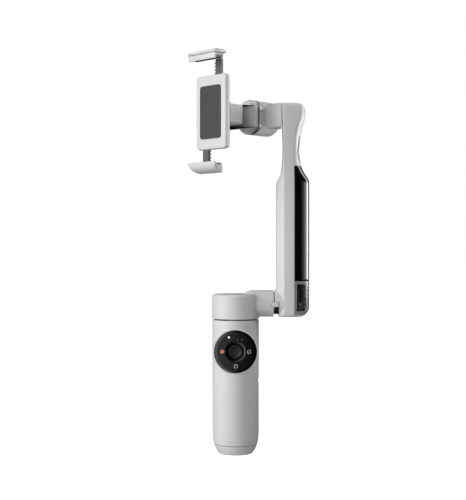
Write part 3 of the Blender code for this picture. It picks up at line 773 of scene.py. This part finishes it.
PANEL_HOLE = 6.2


def control_panel():
    back, front = PANEL_LOW.z, PANEL_HIGH.z
    corners = (PANEL_HOLE, back, 0.1), (PANEL_R, back, 0.1), (PANEL_R, front, 0.28), (PANEL_HOLE, front, 0.3)
    profile = spaced(fillet(corners, 0.0, 6), 2.0)
    to_piece("control_panel_face", turned(profile, 160), DISC_GLOSS, "control_panel", FRONT, "control_panel")


SEAL_INNER, SEAL_OUTER = 3.4, PANEL_R - 3.5


def joystick():
    """The thumb stick with its dished top, and the seal round its stem."""
    low, high = span("joystick_cap", FRONT)
    radius, front = high.x, high.z
    stem = 1.6
    corners = ((0, low.z, 0), (stem, low.z, 0.2), (stem, low.z + 2.6, 0.5), (radius - 0.5, front - 1.7, 0.5),
               (radius, front - 0.8, 0.35), (radius - 0.25, front, 0.3), (radius - 1.3, front - 0.22, 0.8),
               (radius - 2.2, front - 0.75, 1.2), (0, front - 0.85, 0))
    to_piece("joystick_top", turned(fillet(corners, 0.0, 5), 96), STICK, "joystick", FRONT, "joystick_cap")
    board_face = span("control_board", FRONT)[1].z
    seal = ring(SEAL_INNER, SEAL_OUTER, board_face + 0.04, board_face + 0.16, 0.05)
    to_piece("dust_seal", seal, DARK, "handle", FRONT)


MARK_DEPTH = 0.05


def mark(name, parts, ink):
    """A thin printed mark on the control disc, from outlines in the disc's plane."""
    face = PANEL_HIGH.z
    solids = [prism(outline, face - 0.02, face + MARK_DEPTH) for outline in parts]
    to_piece(name, gather(*solids), ink, "control_panel", FRONT)


def circle(x, y, radius, steps=40):
    angles = [2 * pi * k / steps for k in range(steps)]
    return [(x + radius * cos(a), y + radius * sin(a)) for a in angles]


def stroke(points, width):
    """A thin line with square ends through points."""
    left, right = [], []
    ends = [Vector(p) for p in points]
    for i, at in enumerate(ends):
        before, after = ends[max(0, i - 1)], ends[min(len(ends) - 1, i + 1)]
        one = (at - before).normalized() if i else (after - at).normalized()
        two = (after - at).normalized() if i < len(ends) - 1 else one
        normal = (Vector((-one.y, one.x)) + Vector((-two.y, two.x))).normalized()
        spread = max(0.3, normal.dot(Vector((-one.y, one.x))))
        left.append(tuple(at + normal * width / 2 / spread))
        right.append(tuple(at - normal * width / 2 / spread))
    return left + right[::-1]


def disc_marks():
    """The marks stand left, right, below and above the stick. The areas under them press keys."""
    side, low, high = 0.645 * PANEL_R, -0.685 * PANEL_R, 0.675 * PANEL_R
    mark("record_dot", [circle(-side, 0.1, 1.55)], RED_INK)
    mark("record_tick", [circle(-side + 2.2, 0.35, 0.22, 16)], DIM_INK)
    reach, tall, line, barb = 1.0, 1.35, 0.3, 0.5
    arrows = []
    for s in (1, -1):
        x, y = side - 0.1 + s * reach, s * tall
        arrows.append(stroke([(side - 0.1 - s * 0.35, y), (x, y), (x, -s * 0.45)], line))
        arrows.append([(x + barb, -s * 0.4), (x, -s * 1.15), (x - barb, -s * 0.4)])
    mark("switch_icon", arrows, WHITE_INK)
    halves = [band(1.10, 1.46, start, start + 179.9, 24, 0.1, low) for start in (0, 180)]
    mark("shutter_ring", halves, WHITE_INK)
    mark("shutter_tick", [stroke([(-0.35, low - 1.95), (0.55, low - 1.95)], 0.22)], DIM_INK)
    mark("status_light", [circle(-5.1, high + 0.2, 0.72)], LED_INK)
    mark("status_dash", [stroke([(-6.0, high - 1.75), (-3.8, high - 1.75)], 0.3)], DIM_INK)
    mark("status_bar", [stroke([(-1.5, high - 1.2), (-1.5, high + 1.2)], 0.16)], DIM_INK)
    mark("mode_icons", [circle(x, high - 1.5, 0.62, 20) for x in (1.6, 4.8)], DIM_INK)


# ---------------- pan head

HEAD_LOW, HEAD_HIGH = span("pan_head")
HEAD_R = -HEAD_LOW.x
HEAD_TOP = joint_point("fold").z + 7.4
MOTOR_ROOM = 100.0, 109.6  # heights of the bore for the pan motor
MOTOR_R = span("pan_rotor")[1].x + 0.5
LINK_R = span("pan_head", LINK)[1].y
LINK_END = HEAD_HIGH.x
LINK_DOME = 4.0, 14.0  # where the link grows out of the head
SHAFT_ROOM = 5.4
TAB_LOW, TAB_HIGH = span("fold_stop_tab", LINK)
TAB_START, TAB_END = 172.0, 193.6  # degrees about the fold axis, 180 faces the front
TAB_PLAY = 1.4
GROOVE_R = 8.2
FOLD_TURN = JOINTS["fold"]["range_deg"][1]
HUB, HUB_END = joint_point("fold").x + 0.3, 38.0  # the arm's round hub, along the fold axis


def pan_head():
    corners = ((0, HEAD_LOW.z, 0), (HEAD_R, HEAD_LOW.z, 0.5), (HEAD_R, HEAD_TOP, 2.6), (0, HEAD_TOP, 0))
    profile = spaced(fillet(corners, 0.0, 10), 1.6)
    head = to_piece("pan_head_shell", turned(profile), STONE, "pan_head", replaces="pan_head")
    start, end = LINK_DOME
    shares = [k / 14 for k in range(15)]
    tube = [(LINK_R * sqrt(1 - (1 - t) ** 2.4), start + (end - start) * t) for t in shares]
    tube += [(LINK_R, h) for h in steps_between(end, LINK_END - 0.3, 1.5)[1:]]
    join(head, turned(tube + [(LINK_R - 0.3, LINK_END), (0, LINK_END)]), LINK)
    cut(head, disc(MOTOR_R, *MOTOR_ROOM))
    cut(head, disc(SHAFT_ROOM, 10.0, 32.0, 0.0, SMALL_ROUND), LINK)
    groove = TAB_START - TAB_PLAY, TAB_END + TAB_PLAY
    cut(head, sector(GROOVE_R, 12.0, *groove, TAB_LOW.z - 0.3, 32.0, 20), LINK)
    soften(head, 30)


def hinge_sleeves():
    """The dark bearing ring between the link and the arm, and the dark lining of the stop's groove."""
    gap_ring = ring(4.9, GROOVE_R + 0.1, LINK_END - 0.5, HUB - 0.05, 0.1, SMALL_ROUND)
    to_piece("hinge_gap_ring", gap_ring, DARK, "pan_head", LINK)
    lining = ring(3.6, GROOVE_R + 0.15, HUB + 0.02, TAB_HIGH.z + 0.35, 0.1, SMALL_ROUND)
    to_piece("hinge_groove_lining", lining, DARK, "arm", LINK)


def stop_tab():
    key = sector(GROOVE_R + 0.5, LINK_R + 0.15, TAB_START, TAB_END, TAB_LOW.z, TAB_HIGH.z, 16)
    edges(to_piece("fold_stop_key", key, STONE, "pan_head", LINK, "fold_stop_tab"), 0.22, 50)


# ---------------- arm

ARM_LOW, ARM_HIGH = span("arm_frame")
ARM_SIDE = ARM_HIGH.x
ARM_LEFT = joint_point("fold").x + 2.0
FACE_LEFT, FACE_RIGHT = ARM_LEFT + 5.3, ARM_LEFT + 13.0
ARM_CORNER = 8.0  # radius of its lower right corner
ARM_DEPTH = -ARM_LOW.y
ARM_ENDS = 3.0, 4.3  # roundings of its lower and upper end
FLANK_Y = -1.0
FLANK_START = radians(15)
NECK = (  # (height above the arm's foot, distance in from its right side)
    (60, 0), (102, 0), (105.6, 0.4), (108.4, 2.2), (111.4, 4.1), (115.6, 6.0), (119.8, 6.8), (125.3, 7.4),
    (131.8, 7.2), (138.8, 6.7), (144.8, 5.5), (150.2, 3.9), (154.2, 2.8), (157.4, 2.6), (160.0, 3.2),
    (162.2, 4.7), (163.6, 6.8), (164.2, 9.5),
)
SHOULDER = ((60, 0), (102.6, 0), (104.4, 0.5), (110.8, 3.6), (112.8, 3.9), (164.2, 3.9))  # for its left side
FACE_EDGE = ((60, 0), (134.8, 0), (140.4, 1.0), (148.8, 2.7), (156.8, 4.7), (164.2, 5.9))
PANEL_TOP = span("arm_side_panel")[1].z
WINDOW_LOW, WINDOW_TOP = (corner.z for corner in span("arm_window"))
WINDOW_THICK = 0.6
PANEL_THICK = 1.2
PANEL_SHARES, LEDGE_SHARES = (0.035, 0.905), (0.01, 0.93)  # across the flank, for the panels and their recess
POCKET_LOW, POCKET_TOP = 109.8, 130.5
POCKET_START, POCKET_END = 0.12, 0.72
POCKET_DEPTH = 7.0
BRACKET_ROOM = (40.5, 49.0), (-6.0, 6.0), (109.0, 128.5)
SCREW_RECESS = (48.2, 51.4), (-3.6, 1.2), (110.1, 116.8)
LID_LOW, LID_TOP, LID_SIDE, LID_BACK = 108.8, 233.6, 3.5, 8.7
CAVITY, CAVITY_DEPTH = (112.0, 232.0), (-4.5, 9.0)
TRIM_LOW, TRIM_TOP = 106.4, span("arm_trim")[1].z
OUTSIDE = 2.5  # how far a cutter stands out of the flank
TRIM_SHIFT = (  # (height, how far forward the trim runs on the flank): it turns to the front above the panel
    (PANEL_TOP + 0.4, 0.0), (PANEL_TOP + 2.5, 0.24), (PANEL_TOP + 5.0, 0.42), (TRIM_TOP, 0.42),
)


def arm_right(z):
    drop = ARM_LOW.z + ARM_CORNER - z
    if drop > 0:
        return ARM_SIDE - ARM_CORNER + sqrt(max(0.0, ARM_CORNER**2 - drop**2))
    return ARM_SIDE - max(0.0, curve(NECK, z - ARM_LOW.z))


def arm_left(z):
    return ARM_LEFT + max(0.0, curve(SHOULDER, z - ARM_LOW.z))


def face_right(z):
    return min(FACE_RIGHT + max(0.0, curve(FACE_EDGE, z - ARM_LOW.z)), arm_right(z) - 0.4)


def arm_depth(z):
    """Half the arm's depth, with its lower and upper ends rounded."""
    lower, upper = ARM_ENDS
    for start, radius, sign in ((ARM_LOW.z + lower, lower, -1), (ARM_HIGH.z - upper, upper, 1)):
        past = sign * (z - start)
        if past > 0:
            return ARM_DEPTH - radius + sqrt(max(0.0, radius**2 - min(past, radius - 0.04) ** 2))
    return ARM_DEPTH


def flank(z, t, outward=0.0):
    """A point of the arm's curved right flank: t runs from the front face, 0, to the side, 1."""
    angle = FLANK_START + t * (pi / 2 - FLANK_START)
    start, width, front = face_right(z), arm_right(z) - face_right(z), -arm_depth(z)
    depth = FLANK_Y - front
    across = (sin(angle) - sin(FLANK_START)) / (1 - sin(FLANK_START))
    back = (cos(FLANK_START) - cos(angle)) / cos(FLANK_START)
    normal = Vector((depth * sin(angle), -width * cos(angle), 0)).normalized()
    return Vector((start + width * across, front + depth * back, z)) + outward * normal


def arm_section(z):
    """The arm's outline at a height: flat front, 45 degree left chamfer, curved flank and round back."""
    front, left, right = -arm_depth(z), arm_left(z), arm_right(z)
    chamfer = FACE_LEFT - left
    corners = [(face_right(z) - 0.6, front, 0.0)]
    corners += [(p.x, p.y, 0.0) for p in (flank(z, t / 20) for t in range(1, 21))]
    corners += [(right, -front, 3.0), (left, -front, 3.0)]
    corners += [(left, front + chamfer, 1.1), (FACE_LEFT, front, 1.1)]
    return [(x, y, z) for x, y in fillet(corners, 0.0, 6)]


def arm_levels(low, high, longest=2.2):
    """Heights at which the arm is sampled, closer together at its rounded ends."""
    low_round, high_round = ARM_LOW.z + ARM_CORNER, ARM_HIGH.z - ARM_ENDS[1]
    ends = [ARM_LOW.z + ARM_CORNER * (1 - cos(pi / 2 * k / 16)) for k in range(17)]
    top = [high_round + ARM_ENDS[1] * sin(pi / 2 * k / 9) for k in range(10)]
    middle = steps_between(low_round, high_round, longest)
    inside = [z for z in ends + middle[1:-1] + top if low + 0.05 < z < high - 0.05]
    return [low, *inside, high]


def strip(levels, start, end, inner, outer, steps=20, forward=((0, 0.0), (1, 0.0))):
    """A solid that follows the flank between t = start and end, from inner below it to outer above."""
    loops = []
    for z in levels:
        shift = curve(forward, z)
        shares = [start - shift + (end - start) * i / steps for i in range(steps + 1)]
        loop = [flank(z, t, outer) for t in shares] + [flank(z, t, -inner) for t in reversed(shares)]
        loops.append([tuple(point) for point in loop])
    return loft(loops)


def arm_block(low, high, left, right, front, back):
    """A block inside the arm: left(z) and right(z) are its sides, front and back its depths."""
    return loft([[(x, y, z) for x, y in rectangle((left(z), right(z)), (front, back))]
                 for z in arm_levels(low, high)])


def lid_block(gap, back):
    """The lid at the arm's back, larger by gap."""
    side = LID_SIDE - gap
    sides = (lambda z: arm_left(z) + side), (lambda z: arm_right(z) - side)
    return arm_block(LID_LOW - gap, LID_TOP + gap, *sides, LID_BACK - gap, back)


def arm_shell():
    levels = arm_levels(ARM_LOW.z, ARM_HIGH.z)
    arm = to_piece("arm_shell", loft([arm_section(z) for z in levels]), STONE, "arm", replaces="arm_frame")
    hub = (0, HUB, 0), (LINK_R, HUB, 0.3), (LINK_R, HUB_END, 0), (0, HUB_END, 0)
    join(arm, turned(fillet(hub, 0.0, 3)), LINK)
    cut(arm, arm_block(*CAVITY, lambda z: ARM_LEFT + 5, lambda z: arm_right(z) - 6, *CAVITY_DEPTH))
    gap = 0.4
    cut(arm, lid_block(gap, 12.0))
    middle = WINDOW_TOP + 0.2
    cut(arm, strip(arm_levels(middle, PANEL_TOP + 0.3), *LEDGE_SHARES, PANEL_THICK + gap, OUTSIDE))
    cut(arm, strip(arm_levels(WINDOW_LOW - gap, middle), *LEDGE_SHARES, WINDOW_THICK + 0.1, OUTSIDE))
    cut(arm, strip(arm_levels(POCKET_LOW, POCKET_TOP), POCKET_START, POCKET_END, POCKET_DEPTH, OUTSIDE))
    cut(arm, block(*SCREW_RECESS))
    cut(arm, strip(arm_levels(TRIM_LOW - gap, TRIM_TOP + 0.3, 1.1), 0.955, 1.12, 0.9, 1.5, 6, TRIM_SHIFT))
    groove = TAB_START - TAB_PLAY, TAB_END + FOLD_TURN + TAB_PLAY
    cut(arm, sector(GROOVE_R, 13.5, *groove, 29.0, TAB_HIGH.z + gap, 120), LINK)
    cut(arm, disc(3.4, 28.0, 41.0, 0.0, SMALL_ROUND), LINK)
    soften(arm, 28)


def window_liner():
    """The dark tray behind the clear window, open towards it, with the hinge bracket inside."""
    low, high = POCKET_LOW + 0.15, POCKET_TOP - 0.15
    start, end = POCKET_START + 0.01, POCKET_END - 0.01
    solid = strip(arm_levels(low, high), start, end, POCKET_DEPTH - 0.1, -1.9)
    tray = to_piece("window_tray", solid, DARK, "arm")
    cut(tray, strip(arm_levels(low + 0.5, high - 0.5), start + 0.045, end - 0.045, POCKET_DEPTH - 0.5, 0.0))
    cut(tray, block(*BRACKET_ROOM))
    cut(tray, block(*SCREW_RECESS))


def hinge_screws():
    """Round screw heads with a hexagon socket, seen through the window, in a pale colour whose brightness is
    a painted glint.
    """
    for number in (1, 2):
        node = f"hinge_screw_{number}"
        low, high = span(node)
        radius = (high.y - low.y) / 2
        place = place_at(BACK, UP, RIGHT, (0, (low.y + high.y) / 2, (low.z + high.z) / 2))
        round_head = disc(radius, low.x, high.x, 0.3, SMALL_ROUND)
        head = to_piece(f"hinge_screw_head_{number}", round_head, ZINC_PAINTED_GLINT, "arm", place, node)
        cut(head, prism(circle(0, 0, 0.5 * radius, 6), high.x - 0.5 * radius, high.x + 1.0), place)


def arm_skins():
    """The lid at the back, and the panel, window and trim that are let into the flank."""
    lid = to_piece("arm_back_lid", lid_block(0.0, ARM_DEPTH), STONE, "arm", replaces="arm_rear_cover")
    edges(lid, 0.35, 50)
    trim = arm_levels(TRIM_LOW, TRIM_TOP, 1.1), 0.965, 1.1, 0.5, 0.1, 6, TRIM_SHIFT
    for name, solid, material, width, node in (
        ("arm_gloss_panel", (arm_levels(WINDOW_TOP + 0.4, PANEL_TOP), *PANEL_SHARES, PANEL_THICK, 0.0),
         GLOSS, 0.16, "arm_side_panel"),
        ("arm_clear_window", (arm_levels(WINDOW_LOW, WINDOW_TOP), *PANEL_SHARES, WINDOW_THICK, 0.0),
         CLEAR, 0.16, "arm_window"),
        ("arm_trim_line", trim, DARK, 0.06, "arm_trim"),
    ):
        edges(to_piece(name, strip(*solid), material, "arm", replaces=node), width, 50, 2)


# ---------------- motors

ROLL_R = 13.5
ROLL_FRONT, ROLL_FLOOR = -18.0, -35.5  # along the roll axis
ROLL_NECK = (ROLL_R - 1.2, 36.0), (-9.5, 9.5), (-32.0, -19.0)
BESIDE_ARM = (ARM_LEFT + 3.6, 90.0), (-60.0, 60.0), (230.0, 290.0)  # what the roll housing leaves to the arm
BAR_THICK = 2.7
BAR_TURN = -10.6  # where the bar's short arm ends


def motor_cup(radius, back, front, wall, floor, edge, lip, seam):
    """A motor's cup, open to the front. seam holds the four heights and the depth of the line round it."""
    start, low, high, end, depth = seam
    corners = ((0, back, 0), (radius, back, edge), (radius, back + start, 0.1),
               (radius - depth, back + low, 0.05), (radius - depth, back + high, 0.05),
               (radius, back + end, 0.1), (radius, front, 0.25),
               (radius - wall, front, lip), (radius - wall, floor, 0), (0, floor, 0))
    return turned(spaced(fillet(corners, 0.0, 6), 1.6))


def roll_housing():
    back = span("roll_motor_housing", ROLL)[0].z
    cup = motor_cup(ROLL_R, back, ROLL_FRONT, 1.5, ROLL_FLOOR, 1.5, 0.15, (3.2, 3.35, 3.65, 3.8, 0.25))
    housing = to_piece("roll_housing_shell", cup, STONE, "arm", ROLL, "roll_motor_housing")
    join(housing, block(*ROLL_NECK, 3.0, 2.4), ROLL)
    cut(housing, block(*BESIDE_ARM))
    soften(housing, 30)


def roll_bar():
    """The bent bar that carries the tilt motor, with soft edges."""
    low, high = span("roll_arm", ROLL)
    outline = ((low.x, high.z, 0.9), (low.x, low.z, 6.0), (high.x, low.z, 1.2), (high.x, BAR_TURN, 0.6),
               (low.x + BAR_THICK + 0.1, BAR_TURN, 3.4), (low.x + BAR_THICK, high.z, 0.9))
    bm = prism(spaced(fillet(outline, 0.0, 10), 1.2), low.y, high.y, 0.9, 4)
    to_piece("roll_arm_bar", bm, STONE, "roll_arm", ROLL @ UPRIGHT, "roll_arm")


def tilt_housing():
    low, high = span("tilt_motor_housing", TILT)
    cup = motor_cup(high.x, low.z, high.z, 1.2, low.z + 1.4, 1.4, 0.1, (2.6, 2.7, 3.0, 3.1, 0.2))
    to_piece("tilt_housing_shell", cup, STONE, "roll_arm", TILT, "tilt_motor_housing")


# ---------------- clamp

RACK_WAY = 10.3, (24.2, 26.9)  # half width and depth of the slot that the racks run in
PAD_GROOVES, GROOVE_PITCH = range(-7, 8), 2.4
PHONE_HALF = span("upper_jaw_pad", CLAMP)[0].y - 0.1
PAD_RIDGES, RIDGE_STEPS = 7, 8
# Jaw sections: (forward, away from the phone's edge, corner radius).
UPPER_GRIP = (
    (28.6, 1.5, 0.1), (36.3, 1.5, 0.1), (36.5, -0.9, 0.25), (37.3, -0.9, 0.3),
    (37.7, 0.0, 0.3), (37.7, 3.2, 0.15), (28.6, 3.2, 0.15),
)
UPPER_ROOF = (
    (26.4, 3.5, 0.2), (36.6, 3.5, 0.4), (37.9, 4.1, 0.6), (38.1, 4.9, 0.7),
    (37.4, 5.8, 0.8), (36.0, 6.2, 1.0), (27.6, 6.2, 1.2), (26.4, 5.3, 0.6),
)
LOWER_SCOOP = (
    (29.6, 1.5, 0.1), (36.3, 1.5, 0.1), (36.5, -0.9, 0.25), (37.3, -0.9, 0.3), (37.9, 0.4, 0.6),
    (37.6, 2.2, 1.5), (36.6, 3.9, 2.0), (34.6, 5.5, 2.5), (31.4, 6.7, 2.5), (27.6, 7.2, 0.3),
    (27.2, 6.8, 0.3), (28.5, 5.2, 1.5), (29.3, 3.4, 1.5),
)


def clamp_pieces():
    low, high = span("clamp_mount", CLAMP)
    mount = block((low.x + 8.0, high.x - 6.5), (-7.5, 7.5), (low.z, high.z - 1.6), 1.6, 0.5)
    mount = to_piece("clamp_mount_block", mount, STONE, "clamp", CLAMP, "clamp_mount")
    join(mount, disc(high.y, high.z - 2.2, high.z, 0.6), CLAMP)
    soften(mount, 30)
    low, high = span("clamp_base", CLAMP)
    outline = fillet(rectangle((low.x, high.x), (low.y, high.y)), 3.2, 10)
    plate = prism(outline, low.z, high.z, 1.1, 4)
    base = to_piece("clamp_base_plate", plate, STONE, "clamp", CLAMP, "clamp_base")
    half, depth = RACK_WAY
    cut(base, block((-half, half), (low.y - 2, high.y + 2), depth), CLAMP)
    join(base, disc(1.1, 23.8, 27.2, 0.0, 32), CLAMP)
    soften(base, 30)
    low, high = span("clamp_back_pad", CLAMP)
    pad = block((low.x, high.x), (low.y, high.y), (low.z, high.z), 2.2, 0.2)
    pad = to_piece("clamp_pad_face", pad, RUBBER, "clamp", CLAMP, "clamp_back_pad")
    for k in PAD_GROOVES:
        along = GROOVE_PITCH * k
        across, deep = (low.x + 2.0, high.x - 2.0), (high.z - 0.25, high.z + 1)
        cut(pad, block(across, (along - 0.25, along + 0.25), deep, 0.2), CLAMP)


def jaw_bar(section, side, node, edge, narrowing=0.0):
    """A section drawn out along the clamp, as wide as the CAD node, with its two ends rounded."""
    outline = spaced(fillet(section, 0.0, 6), 0.8)
    half = span(node, CLAMP)[1].x
    shares = [pi / 2 * k / 4 for k in range(5)]
    loops = []
    for end, angles in ((-1, shares), (1, shares[::-1])):
        for a in angles:
            shrink = edge * (1 - sin(a))
            along = half - edge * (1 - cos(a))
            loops.append([
                (end * (along - narrowing * max(0.0, away)), side * (PHONE_HALF + away), forward)
                for forward, away in inset(outline, shrink * 0.6)
            ])
    return loft(loops)


def jaws():
    """Each jaw has a web that joins it to its rack."""
    upper = jaw_bar(UPPER_GRIP, 1, "upper_jaw", 0.5)
    upper = to_piece("upper_jaw_grip", upper, STONE, "upper_jaw", CLAMP, "upper_jaw")
    join(upper, block((2.5, 9.5), (PHONE_HALF + 1.6, PHONE_HALF + 3.2), (26.9, 30.0), 0.3), CLAMP)
    roof = jaw_bar(UPPER_ROOF, 1, "upper_jaw_cover", 0.8)
    to_piece("upper_jaw_roof", roof, STONE, "upper_jaw", CLAMP, "upper_jaw_cover")
    ribbed_pad("upper_jaw_pad", "upper_grip_pad", "upper_jaw", 1)
    lower = jaw_bar(LOWER_SCOOP, -1, "lower_jaw", 0.6, 0.48)
    lower = to_piece("lower_jaw_scoop", lower, STONE, "lower_jaw", CLAMP, "lower_jaw")
    join(lower, block((-9.5, -2.5), (-PHONE_HALF - 5.0, -PHONE_HALF - 1.6), (26.9, 32.0), 0.3), CLAMP)
    ribbed_pad("lower_jaw_pad", "lower_grip_pad", "lower_jaw", -1)


def ribbed_pad(node, name, body, side):
    """A rubber strip with ridges along it."""
    low, high = span(node, CLAMP)
    thick = high.y - low.y
    steps = PAD_RIDGES * RIDGE_STEPS
    outline = []
    for k in range(steps + 1):
        dip = 0.16 * (0.5 - 0.5 * cos(2 * pi * k / RIDGE_STEPS))
        outline.append((low.z + (high.z - low.z) * k / steps, dip))
    outline += [(high.z, thick), (low.z, thick)]
    loops = []
    for x, shrink in ((low.x, 0.2), (low.x + 0.2, 0.0), (high.x - 0.2, 0.0), (high.x, 0.2)):
        loops.append([(x, side * (PHONE_HALF + 0.1 + away + (shrink if away < 0.5 else 0)), forward)
                      for forward, away in outline])
    to_piece(name, loft(loops), RUBBER, body, CLAMP, node)


# ---------------- CAD nodes that stay

WELD_REACH = 0.00001  # metres


def finish_cad_nodes():
    """Gives each CAD node the material of its slot, and smooth shading over its round faces."""
    slots = {part["node"]: part["material_slot"] for part in frame["record"]["subparts"]}
    for name, node in frame["nodes"].items():
        node.data.materials.clear()
        node.data.materials.append(SLOT_MATERIALS[slots[name]][0])
        weld = node.modifiers.new("weld", "WELD")
        weld.merge_threshold = WELD_REACH
        node.data.shade_smooth()
        split = node.modifiers.new("split", "EDGE_SPLIT")
        split.split_angle = radians(32)
        split.use_edge_sharp = False


# ---------------- stage

MIDDLE = (0.02, 0.0, 0.15)  # what the lamps aim at
CAMERA_AT = (-0.002, -0.826, 0.1536)
FOCAL_LENGTH = 76.97
FLOOR_Z = -0.12
FLOOR_GLOW = 0.85
FILL = 0.31
FILL_BELOW = 0.34  # added towards the pale floor
REFLECTED = 0.03  # what gloss faces mirror between the lamps
LAMPS = (  # name, place, (width, height), power
    ("key_left", (-1.7, -0.9, 0.6), (1.2, 1.8), 40.5),
    ("front_card", (-0.86, -2.4, 0.1), (1.6, 2.2), 15),
    ("rim_right", (1.2, 0.38, 0.30), (0.55, 1.8), 17),
    ("top_soft", (0.1, 0.2, 1.8), (1.6, 1.6), 9),
)
DISC_CARDS = ((0.002, 0.33), (-0.022, 0.28))  # (right edge, power): the control disc mirrors them in steps
DISC_CARD_SIZE, DISC_CARD_Y, DISC_CARD_Z = (0.3, 0.55), -1.7, -0.12
REFLECTOR = 13.0  # radiance of the brightest strip beside the arm
STRIPS, STRIPS_START, STRIP_PITCH, STRIP_HEIGHT = 10, 54, 6.5, 0.4  # angles in degrees, a metre from the arm
HANDLE_FLAG = (0.16, 0.10, 0.02), (0, 0, 0.02), (0.35, 0.19)  # place, aim and size


def stage_piece(name, bm, material):
    piece = new_object(name, bm, material)
    return piece


def aim_at(thing, place, aim):
    thing.location = place
    thing.rotation_euler = (Vector(aim) - Vector(place)).to_track_quat("-Z", "Y").to_euler()
    thing.visible_camera = False


def stage():
    """The pale floor, which only the camera sees."""
    made = Nodes("pale_floor", (0.92, 0.92, 0.92), 0.9)
    cloud = made.noise(made.coordinates(), 0.004, 3.0)
    made.paint(made.mix(made.between(cloud, 0, 1), (0.91, 0.91, 0.91), (0.93, 0.93, 0.93)))
    made.set("Emission Color", (1, 1, 1, 1))
    made.set("Emission Strength", FLOOR_GLOW)
    bm = bmesh.new()
    bmesh.ops.create_circle(bm, cap_ends=True, radius=40.0, segments=64)
    floor = stage_piece("studio_floor", bm, made.material)
    floor.location.z = FLOOR_Z
    floor.visible_diffuse = False
    floor.visible_glossy = False


def soft_light(name, place, aim, size, power, diffuse=True):
    data = bpy.data.lights.new(name, "AREA")
    data.shape = "RECTANGLE"
    data.size, data.size_y = size
    data.energy = power
    lamp = in_scene(name, data)
    aim_at(lamp, place, aim)
    lamp.visible_diffuse = diffuse


def flag(name, place, aim, size):
    """A black card that keeps light off part of the object. The camera doesn't see it."""
    bm = bmesh.new()
    bmesh.ops.create_grid(bm, x_segments=1, y_segments=1, size=0.5, matrix=Matrix.Diagonal((*size, 1, 1)))
    aim_at(stage_piece(name, bm, DARK), place, aim)


def graded_reflector():
    """Strips that only gloss mirrors, brighter towards the back, for a smooth band along the arm's panel."""
    centre = Vector((0.055, 0, 0.15))
    width = radians(STRIP_PITCH)
    for k in range(STRIPS):
        angle = radians(STRIPS_START + STRIP_PITCH * k)
        place = centre + Vector((sin(angle), -cos(angle), 0))
        radiance = REFLECTOR * ((k + 1) / STRIPS) ** 2
        power = radiance * pi * width * STRIP_HEIGHT
        soft_light(f"reflector_{k + 1}", place, centre, (width, STRIP_HEIGHT), power, diffuse=False)


def studio():
    bpy.context.scene.view_settings.view_transform = "Standard"
    for name, place, size, power in LAMPS:
        soft_light(name, place, MIDDLE, size, power)
    for number, (right_edge, power) in enumerate(DISC_CARDS, 1):
        across = right_edge - DISC_CARD_SIZE[0] / 2
        place, aim = (across, DISC_CARD_Y, DISC_CARD_Z), (across, 0, DISC_CARD_Z)
        soft_light(f"disc_card_{number}", place, aim, DISC_CARD_SIZE, power, diffuse=False)
    graded_reflector()
    flag("handle_flag", *HANDLE_FLAG)


def world():
    """White for the camera, dim for mirrored rays, and a fill that is stronger from below."""
    made = bpy.data.worlds.new("studio_world")
    bpy.context.scene.world = made
    made.use_nodes = True
    nodes, links = made.node_tree.nodes, made.node_tree.links
    path = nodes.new("ShaderNodeLightPath")
    fill = nodes["Background"]
    shown = fill
    for ray, strength in (("Is Glossy Ray", REFLECTED), ("Is Camera Ray", 1.0)):
        mixed = nodes.new("ShaderNodeMixShader")
        seen = nodes.new("ShaderNodeBackground")
        seen.inputs["Color"].default_value = (1, 1, 1, 1)
        seen.inputs["Strength"].default_value = strength
        links.new(path.outputs[ray], mixed.inputs["Fac"])
        links.new(shown.outputs[0], mixed.inputs[1])
        links.new(seen.outputs[0], mixed.inputs[2])
        shown = mixed
    fill.inputs["Color"].default_value = (0.95, 0.97, 1.0, 1)
    direction = nodes.new("ShaderNodeTexCoord")
    height = nodes.new("ShaderNodeSeparateXYZ")
    strength = nodes.new("ShaderNodeMapRange")
    for socket, value in zip(("From Min", "From Max", "To Min", "To Max"), (-1, 0, FILL + FILL_BELOW, FILL)):
        strength.inputs[socket].default_value = value
    links.new(direction.outputs["Generated"], height.inputs[0])
    links.new(height.outputs["Z"], strength.inputs["Value"])
    links.new(strength.outputs["Result"], fill.inputs["Strength"])
    links.new(shown.outputs[0], nodes["World Output"].inputs["Surface"])


def camera():
    data = bpy.data.cameras.new("camera")
    data.lens = FOCAL_LENGTH
    data.shift_y = 0.008
    data.clip_end = 100.0
    view = in_scene("camera", data)
    view.location = CAMERA_AT
    view.rotation_euler = (pi / 2, 0, 0)
    bpy.context.scene.camera = view


for build in (
    camera, finish_cad_nodes, handle_skin, disc_surround, pocket_floor, usb_socket, trigger_lever,
    tripod_legs, control_panel, joystick, disc_marks, pan_head, hinge_sleeves, stop_tab, arm_shell,
    window_liner, hinge_screws, arm_skins, roll_housing, roll_bar, tilt_housing, clamp_pieces, jaws,
    stage, studio, world,
):
    build()
